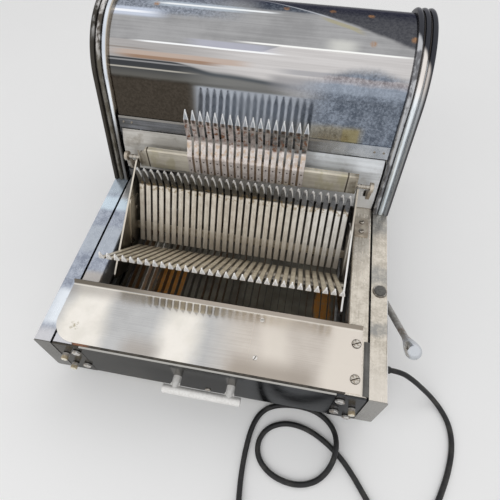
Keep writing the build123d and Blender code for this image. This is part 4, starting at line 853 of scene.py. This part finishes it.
# On the bend, painted reflections: rosy grey under a white line, which is higher at the right, and a pale
# glow.
edge = across.span(0.0, 0.05, LEFT_LINE, RIGHT_LINE)
below = (turn - edge).span(-0.6, 0.6, 1.0, 0.0)
rightward = across.span(-0.15, 0.02)
rosy_grey = rightward.paint((0.38, 0.365, 0.36), (0.55, 0.53, 0.525))
pale_grey = rightward.paint((0.45, 0.435, 0.43), (0.64, 0.62, 0.615))
colour = below.paint(colour, hood.lines.shades(rosy_grey, pale_grey))
blue_shoulder = turn.band(45.0, 49.0, 1.5) * across.band(-0.08, 0.0, 0.05)
colour = (blue_shoulder * 0.6).paint(colour, (0.50, 0.51, 0.62))
glow = (turn + ragged * 0.4).band(54.0, 57.0, 6.0) * across.band(0.132, 0.142, 0.030)
colour = (glow * 0.7).paint(colour, (0.70, 0.70, 0.66))
colour = streak(LEFT_LINE, 0.9, -0.170, 0.010, 0.05).paint(colour, (0.95, 0.96, 0.97))
colour = streak(RIGHT_LINE, 0.9, 0.010, 0.215, 0.06).paint(colour, (0.96, 0.96, 0.94))

# Low at the left, painted reflections: brown streaks over a dark foot, and a paler zone behind the fingers.
colour = (streak(34.0, 3.0, -0.210, -0.040, 0.05) * 0.8).paint(colour, (0.52, 0.40, 0.33))
colour = (streak(31.3, 1.8, -0.195, -0.090, 0.055) * 0.85).paint(colour, (0.31, 0.185, 0.115))
colour = (streak(37.5, 0.8, -0.255, -0.200, 0.06) * 0.6).paint(colour, (0.24, 0.20, 0.17))
foot_edge = across.span(-0.14, -0.06, 29.6, 25.0) + across.span(-0.05, 0.08, 0.0, -3.0)
foot_soft = across.span(-0.14, -0.04, 0.5, 2.2)
foot = ((turn - foot_edge) / foot_soft).span(-1.0, 1.0, 1.0, 0.0) * across.span(0.02, 0.12, 1.0, 0.0)
left_foot = turn.span(14.0, 25.0).paint((0.125, 0.122, 0.112), (0.050, 0.053, 0.058))
middle_foot = (turn - foot_edge).span(-5.0, -2.0).paint((0.185, 0.185, 0.18), (0.085, 0.095, 0.105))
colour = foot.paint(colour, across.span(-0.14, -0.05).paint(left_foot, middle_foot))
colour = (streak(27.6, 0.8, -0.255, -0.140, 0.06) * 0.8).paint(colour, (0.33, 0.33, 0.335))
colour = (streak(22.0, 0.8, -0.250, -0.140, 0.06) * 0.9).paint(colour, (0.46, 0.44, 0.39))
brown = (turn + ragged * 0.25).span(12.0, 16.0, 1.0, 0.0) * across.span(-0.115, -0.085, 1.0, 0.0)
colour = brown.paint(colour, mottle.shades((0.048, 0.040, 0.031), (0.072, 0.060, 0.048)))
behind = turn.span(11.0, 13.5, 1.0, 0.0) * across.span(-0.105, -0.085)
colour = behind.paint(colour, (0.40, 0.43, 0.48))

# Low at the right, painted reflections: mottled blue, with a pink band and olive and yellow patches.
colour = (streak(31.8, 2.6, 0.075, 0.115, 0.05) * 0.65).paint(colour, (0.33, 0.33, 0.355))
colour = (streak(22.0, 8.0, 0.045, 0.100, 0.03) * 0.55).paint(colour, (0.20, 0.20, 0.215))
blue_edge = across.span(0.05, 0.18, 24.0, 38.5) - across.span(0.205, 0.245, 0.0, 5.0)
blue = (turn + ragged * 0.8 - blue_edge).span(-6.0, 4.0, 1.0, 0.0) * across.span(0.03, 0.14)
clouds = hood.place.stretched(1.0, 0.7, 0.7).noise(48.0, 5.0, 0.6) * 0.33 + mottle * 0.67
clouds = clouds.span(0.37, 0.65)
blue_spots = clouds.paint((0.090, 0.107, 0.137), (0.285, 0.325, 0.39))
pink_spots = clouds.paint((0.20, 0.18, 0.19), (0.46, 0.44, 0.46))
paler_spots = clouds.paint((0.20, 0.215, 0.25), (0.46, 0.48, 0.52))
blue_spots = across.span(0.06, 0.125).paint(paler_spots, blue_spots)
blue_spots = (turn + ragged * 0.5).band(27.0, 31.0, 2.0).paint(blue_spots, pink_spots)
blue_spots = (turn.band(21.0, 26.0, 4.0) * 0.45).paint(blue_spots, (0.38, 0.43, 0.51))
olive_spots = clouds.paint((0.21, 0.19, 0.14), (0.37, 0.335, 0.255))
olive = (turn + ragged * 0.4).span(-12.0, -6.0, 1.0, 0.0) * across.span(0.184, 0.202, 1.0, 0.0)
blue_spots = (olive * 0.85).paint(blue_spots, olive_spots)
yellowish = (turn + ragged * 0.2).span(-12.0, -8.0, 1.0, 0.0) * across.band(0.163, 0.186, 0.005)
blue_spots = (yellowish * 0.6).paint(blue_spots, (0.32, 0.27, 0.12))
colour = blue.paint(colour, blue_spots)

# Behind the ridge, painted reflections: navy, with a pale rim and a yellow patch in front of it.
ridge = turn + across * RIDGE_SLANT
navy = (ridge + ragged * 0.3).span(102.0, 106.0)
colour = navy.paint(colour, mottle.shades((0.060, 0.062, 0.072), (0.100, 0.102, 0.112)))
rim = ridge.band(102.6, 103.4, 0.8) * across.band(-0.02, 0.09, 0.05)
colour = (rim * 0.8).paint(colour, (0.55, 0.57, 0.61))
yellow = (ridge + ragged * 0.3).band(98.5, 101.0, 1.5) * across.band(0.115, 0.150, 0.025)
colour = (yellow * 0.5).paint(colour, (0.42, 0.37, 0.17))

# Rust spots, then the plain rear and the dull inside.
crumbled = mottle.span(0.40, 0.60, 0.35, 1.0)
uneven = (hood.place.noise(400.0, 3.0) - 0.5) * 0.9
for place, angle in RUST_SPOTS:
    beside = (across - place) / RUST_WIDE
    beyond = (turn - angle - wander) / RUST_HIGH
    away = beside * beside + beyond * beyond
    colour = ((away + uneven).span(0.0, 1.0, 0.9, 0.0) * crumbled).paint(colour, (0.38, 0.21, 0.105))
colour = back.span(0.540, 0.590).paint(colour, hood.colour)
outward = hood.facing.part("Y") * (back - HOOD_MIDDLE) + hood.facing.part("Z") * (up - HOOD_SPRING)
inside = outward.span(-0.02, 0.0, 1.0, 0.0)
hood.set("Base Color", inside.paint(colour, hood.smudge.paint((0.22, 0.22, 0.215), (0.34, 0.34, 0.33))))
hood.dress("hood_sheet")

hood_strip = drawn_sheet(
    "hood_strip_stainless", (0.09, 0.09, 0.09), (0.20, 0.205, 0.22), (5.0, 220.0, 220.0), 0.16
)
light_end = hood_strip.place.part("X").span(0.08, 0.20)
cleaner = hood_strip.smudge.span(0.38, 0.62).paint((0.36, 0.385, 0.42), (0.56, 0.59, 0.63))
colour = light_end.paint(hood_strip.colour, cleaner)
pale_edge = hood_strip.place.part("Z").span(0.1310, 0.1325) * (1.0 - light_end)
hood_strip.set("Base Color", (pale_edge * 0.8).paint(colour, (0.33, 0.315, 0.29)))
hood_strip.dress("hood_strip")


# Hood trims: chrome bands along both edges of the hood's sheet, pressed with three round beads, with painted
# highlights and painted reflections on the beads and dirt and painted shade between them. Cheeks close the
# hood's ends, and two butt hinges hold it at the rear.
TRIM_MIDDLE = 0.263
BEAD = 0.0105
TRIM_SLANT = 1050.0

trims = Surface("chrome_trim", Metallic=0.6, Specular_Tint=HOOD_TINT)
across = trims.place.part("X")
right = across.span(-0.01, 0.01)
side = across.size() - TRIM_MIDDLE
beads = side / BEAD + 0.5
groove = (beads - beads.maths("FLOOR") - 0.5).size()
turn = (trims.place.part("Z") - HOOD_SPRING).maths("ARCTAN2", HOOD_MIDDLE - trims.place.part("Y")) * DEGREES
along = trims.place.stretched(30.0, 9.0, 9.0).noise(1.0, 4.0)
blotchy = trims.place.stretched(80.0, 34.0, 34.0).noise(1.0, 4.0, 0.6).span(0.44, 0.56)
inner = side.span(-0.0058, -0.0046, 1.0, 0.0)
outer = side.span(0.0046, 0.0058)

# Left trim: tarnished, with painted highlights on its outer band and its inner bead.
left_middle = blotchy.paint((0.10, 0.088, 0.075), (0.66, 0.64, 0.62))
left_middle = turn.span(20.0, 45.0, 0.85, 0.0).paint(left_middle, (0.12, 0.11, 0.085))
left_shine = blotchy * turn.span(35.0, 60.0) * side.span(0.0095, 0.0120, 1.0, 0.0)
left_outer = left_shine.paint((0.055, 0.050, 0.042), (0.58, 0.57, 0.56))
left_inner = along.shades((0.62, 0.67, 0.74), (0.88, 0.92, 0.97))
left_inner = turn.span(-34.0, -14.0, 0.9, 0.0).paint(left_inner, (0.13, 0.12, 0.105))
left_trim = inner.paint(outer.paint(left_middle, left_outer), left_inner)

# Right trim: a painted highlight on its middle bead, and a painted dark reflection where it goes behind the
# ridge.
right_inner = blotchy.paint((0.17, 0.17, 0.18), (0.52, 0.53, 0.55))
warm_band = along.shades((0.78, 0.735, 0.695), (0.95, 0.90, 0.86))
blue_band = along.shades((0.68, 0.76, 0.82), (0.90, 0.96, 1.0))
raised = turn.span(14.0, 34.0)
right_middle = raised.paint(blue_band, warm_band)
grey_side = raised.paint((0.42, 0.44, 0.46), (0.60, 0.56, 0.53))
right_outer = side.span(0.0080, 0.0125).paint(grey_side, (0.06, 0.058, 0.06))
right_trim = inner.paint(outer.paint(right_middle, right_outer), right_inner)
upper = (turn + side * TRIM_SLANT + along * 10.0).span(56.0, 62.0)
right_trim = upper.paint(right_trim, (0.038, 0.040, 0.048))

# Both: chrome at the rear, dirt and painted shade in the grooves, and the left one's inner edge, with a
# painted shadow low down.
bright = right.paint(left_trim, right_trim)
chrome = along.shades((0.42, 0.43, 0.45), (0.62, 0.63, 0.65))
bright = trims.place.part("Y").span(0.560, 0.600).paint(bright, chrome)
groove_dirt_and_shade = groove.span(0.36, 0.46)
soft_groove = right * side.span(0.0, 0.002) * (1.0 - upper)
groove_dirt_and_shade_colour = (soft_groove * 0.8).paint((0.055, 0.048, 0.044), (0.46, 0.48, 0.50))
colour = groove_dirt_and_shade.paint(bright, groove_dirt_and_shade_colour)
# Painted shadow low on the left trim's inner edge, beige above.
beige = side.span(-0.0140, -0.0130, 1.0, 0.0) * (1.0 - right)
hollow = turn.span(-18.0, -12.0).paint((0.012, 0.011, 0.010), (0.50, 0.44, 0.36))
trims.set("Base Color", beige.paint(colour, hollow))
trims.set("Roughness", (along * 0.4 + groove_dirt_and_shade * 0.6).span(0.1, 0.9, 0.07, 0.34))
trims.bump(trims.place.noise(120.0, 3.0), 0.05, 0.0004)
trims.dress("hood_trims")

cheeks = drawn_sheet("cheek_stainless", (0.30, 0.31, 0.32), (0.52, 0.53, 0.55), (200.0, 5.0, 200.0), 0.15)
cheeks.dress("hood_cheeks")

leaves = drawn_sheet("hinge_steel", (0.26, 0.25, 0.24), (0.44, 0.43, 0.41), (60.0, 60.0, 60.0), 0.3)
leaves.dress("hinge_base_leaves", "hinge_hood_leaves")


# Crumb drawer: a mirror-like stainless front with a thin galvanised tray behind it, stained by crumbs. The
# front's dark tone, bluer at the right, is a painted reflection, with painted shade below the pull, pale
# painted reflections of the pull's posts and a painted highlight along its top edge. A matt cast pull stands
# on two posts in the middle of the front.
PULL_MIDDLE = -0.0025
POST_INNER = 0.0399
POST_OUTER = 0.0495

drawer = drawn_sheet(
    "drawer_stainless", (0.030, 0.029, 0.026), (0.075, 0.073, 0.066), (5.0, 300.0, 300.0), 0.12,
    Specular_Tint=FRONT_TINT,
)
across = drawer.place.part("X")
up = drawer.place.part("Z")
# Painted dark reflection, bluer at the right, and painted shade below the pull.
colour = (across.span(-0.08, 0.14) * 0.75).paint(drawer.colour, (0.052, 0.060, 0.072))
shade_under_pull = across.band(-0.080, 0.035, 0.04) * up.span(-0.045, -0.020, 0.8, 0.0)
colour = shade_under_pull.paint(colour, (0.012, 0.012, 0.011))
# Painted reflections of the posts on the front.
post_reflection = (across - PULL_MIDDLE).size().band(POST_INNER, POST_OUTER, 0.004)
colour = (post_reflection * up.band(-0.044, -0.020, 0.010) * 0.5).paint(colour, (0.36, 0.34, 0.315))
# Painted highlight along the top edge.
top_edge_highlight = up.span(-0.0042, -0.0034)
drawer.set("Base Color", top_edge_highlight.paint(colour, (0.44, 0.43, 0.405)))
drawer.dress("drawer_front")

tray = Surface("stained_tray", Metallic=0.2)
across = tray.place.part("X")
crumbs = tray.place.noise(130.0, 6.0, 0.7)
burnt = tray.place.noise(20.0, 4.0)
floor_colour = burnt.shades((0.25, 0.23, 0.19), (0.40, 0.375, 0.31))
sway = across + (burnt - 0.5) * 0.03
baked = sway.band(-0.151, -0.100, 0.006) + sway.band(0.168, 0.190, 0.008)
baked = baked * tray.place.part("Y").band(0.150, 0.230, 0.030) * crumbs.span(0.3, 0.6, 0.6, 1.0)
floor_colour = baked.paint(floor_colour, (0.92, 0.42, 0.09))
tray.set("Base Color", crumbs.span(0.60, 0.68).paint(floor_colour, (0.32, 0.24, 0.15)))
tray.set("Roughness", crumbs.between(0.5, 0.75))
tray.bump(crumbs, 0.3, 0.001)
tray.dress("crumb_tray")

pull = Surface("cast_pull", Metallic=0.3)
cast = pull.place.noise(260.0, 5.0, 0.6)
matt = cast.shades((0.74, 0.725, 0.70), (0.84, 0.83, 0.81))
pull.set("Base Color", (pull.place.specks(160.0, 0.16, 0.10) * 0.6).paint(matt, (0.34, 0.24, 0.15)))
pull.set("Roughness", cast.between(0.36, 0.52))
pull.bump(cast, 0.06, 0.0004)
pull.dress("pull_handle")


# Blades and their two frames: thin steel strips, some rusty and two of them new, held in painted bars. The
# frames slide against each other on plastic guide blocks.
BLADE_EDGE = -0.052

blade = Surface("blade_steel", Metallic=0.6)
honed = blade.place.stretched(10.0, 60.0, 600.0).noise(1.0, 4.0)
across = blade.place.part("X")
number = (across / PITCH).maths("FLOOR")
chance = number.node("TexWhiteNoise", {"W": number}, noise_dimensions="1D")
edge = blade.place.part("Z").span(BLADE_EDGE - 0.0015, BLADE_EDGE + 0.0015)
steel = honed.shades((0.12, 0.115, 0.10), (0.26, 0.25, 0.225))
rusted = honed.shades((0.11, 0.065, 0.035), (0.30, 0.175, 0.08))
flank = chance.span(0.40, 0.55).paint(rusted, steel)
flank = (edge * 0.7).paint(flank, (0.035, 0.032, 0.028))
new_blades = across.band(-0.160, -0.140, 0.001)
blade.set("Base Color", new_blades.paint(flank, (0.72, 0.70, 0.66)))
blade.set("Roughness", honed.between(0.28, 0.5))
blade.bump(honed, 0.08, 0.0002)
blade.dress("blades_outer", "blades_inner")

bars = Surface("frame_paint", Roughness=0.5)
chip = bars.place.noise(60.0, 5.0, 0.65)
bare = chip.span(0.62, 0.66)
bars.set("Base Color", bare.paint((0.085, 0.082, 0.075), (0.30, 0.28, 0.25)))
bars.set("Metallic", bare)
bars.bump(chip, 0.12, 0.0004)
bars.dress("blade_frame_outer", "blade_frame_inner")

guide = Surface("guide_plastic", Roughness=0.45)
mottle = guide.place.noise(110.0, 4.0)
guide.set("Base Color", mottle.paint((0.045, 0.042, 0.038), (0.085, 0.08, 0.072)))
guide.bump(mottle, 0.06, 0.0003)
guide.dress("frame_guide_blocks")


# Drive under the hood: a grey enamelled motor on its bridge turns the crank by a black rubber belt. The
# pulleys, the rods and the crank's bearings are castings.
motor = Surface("motor_enamel", Roughness=0.4, Coat_Weight=0.25)
enamel = motor.place.noise(75.0, 4.0)
motor.set("Base Color", enamel.paint((0.19, 0.20, 0.205), (0.25, 0.26, 0.265)))
motor.bump(enamel, 0.08, 0.0004)
motor.dress("motor_body")

castings = Surface("drive_castings", Metallic=1.0)
sand = castings.place.noise(210.0, 5.0, 0.6)
castings.set("Base Color", sand.shades((0.34, 0.335, 0.325), (0.52, 0.515, 0.50)))
castings.set("Roughness", sand.between(0.32, 0.5))
castings.bump(sand, 0.2, 0.0004)
castings.dress("crank_pulley", "crank_bearings", "rod_outer", "rod_inner", "motor_pulley")

belt = Surface("belt_rubber", Specular_IOR_Level=0.35)
weave = belt.place.noise(300.0, 4.0)
belt.set("Base Color", weave.paint((0.014, 0.014, 0.014), (0.04, 0.038, 0.036)))
belt.set("Roughness", weave.between(0.5, 0.7))
belt.bump(weave, 0.15, 0.0003)
belt.dress("drive_belt")
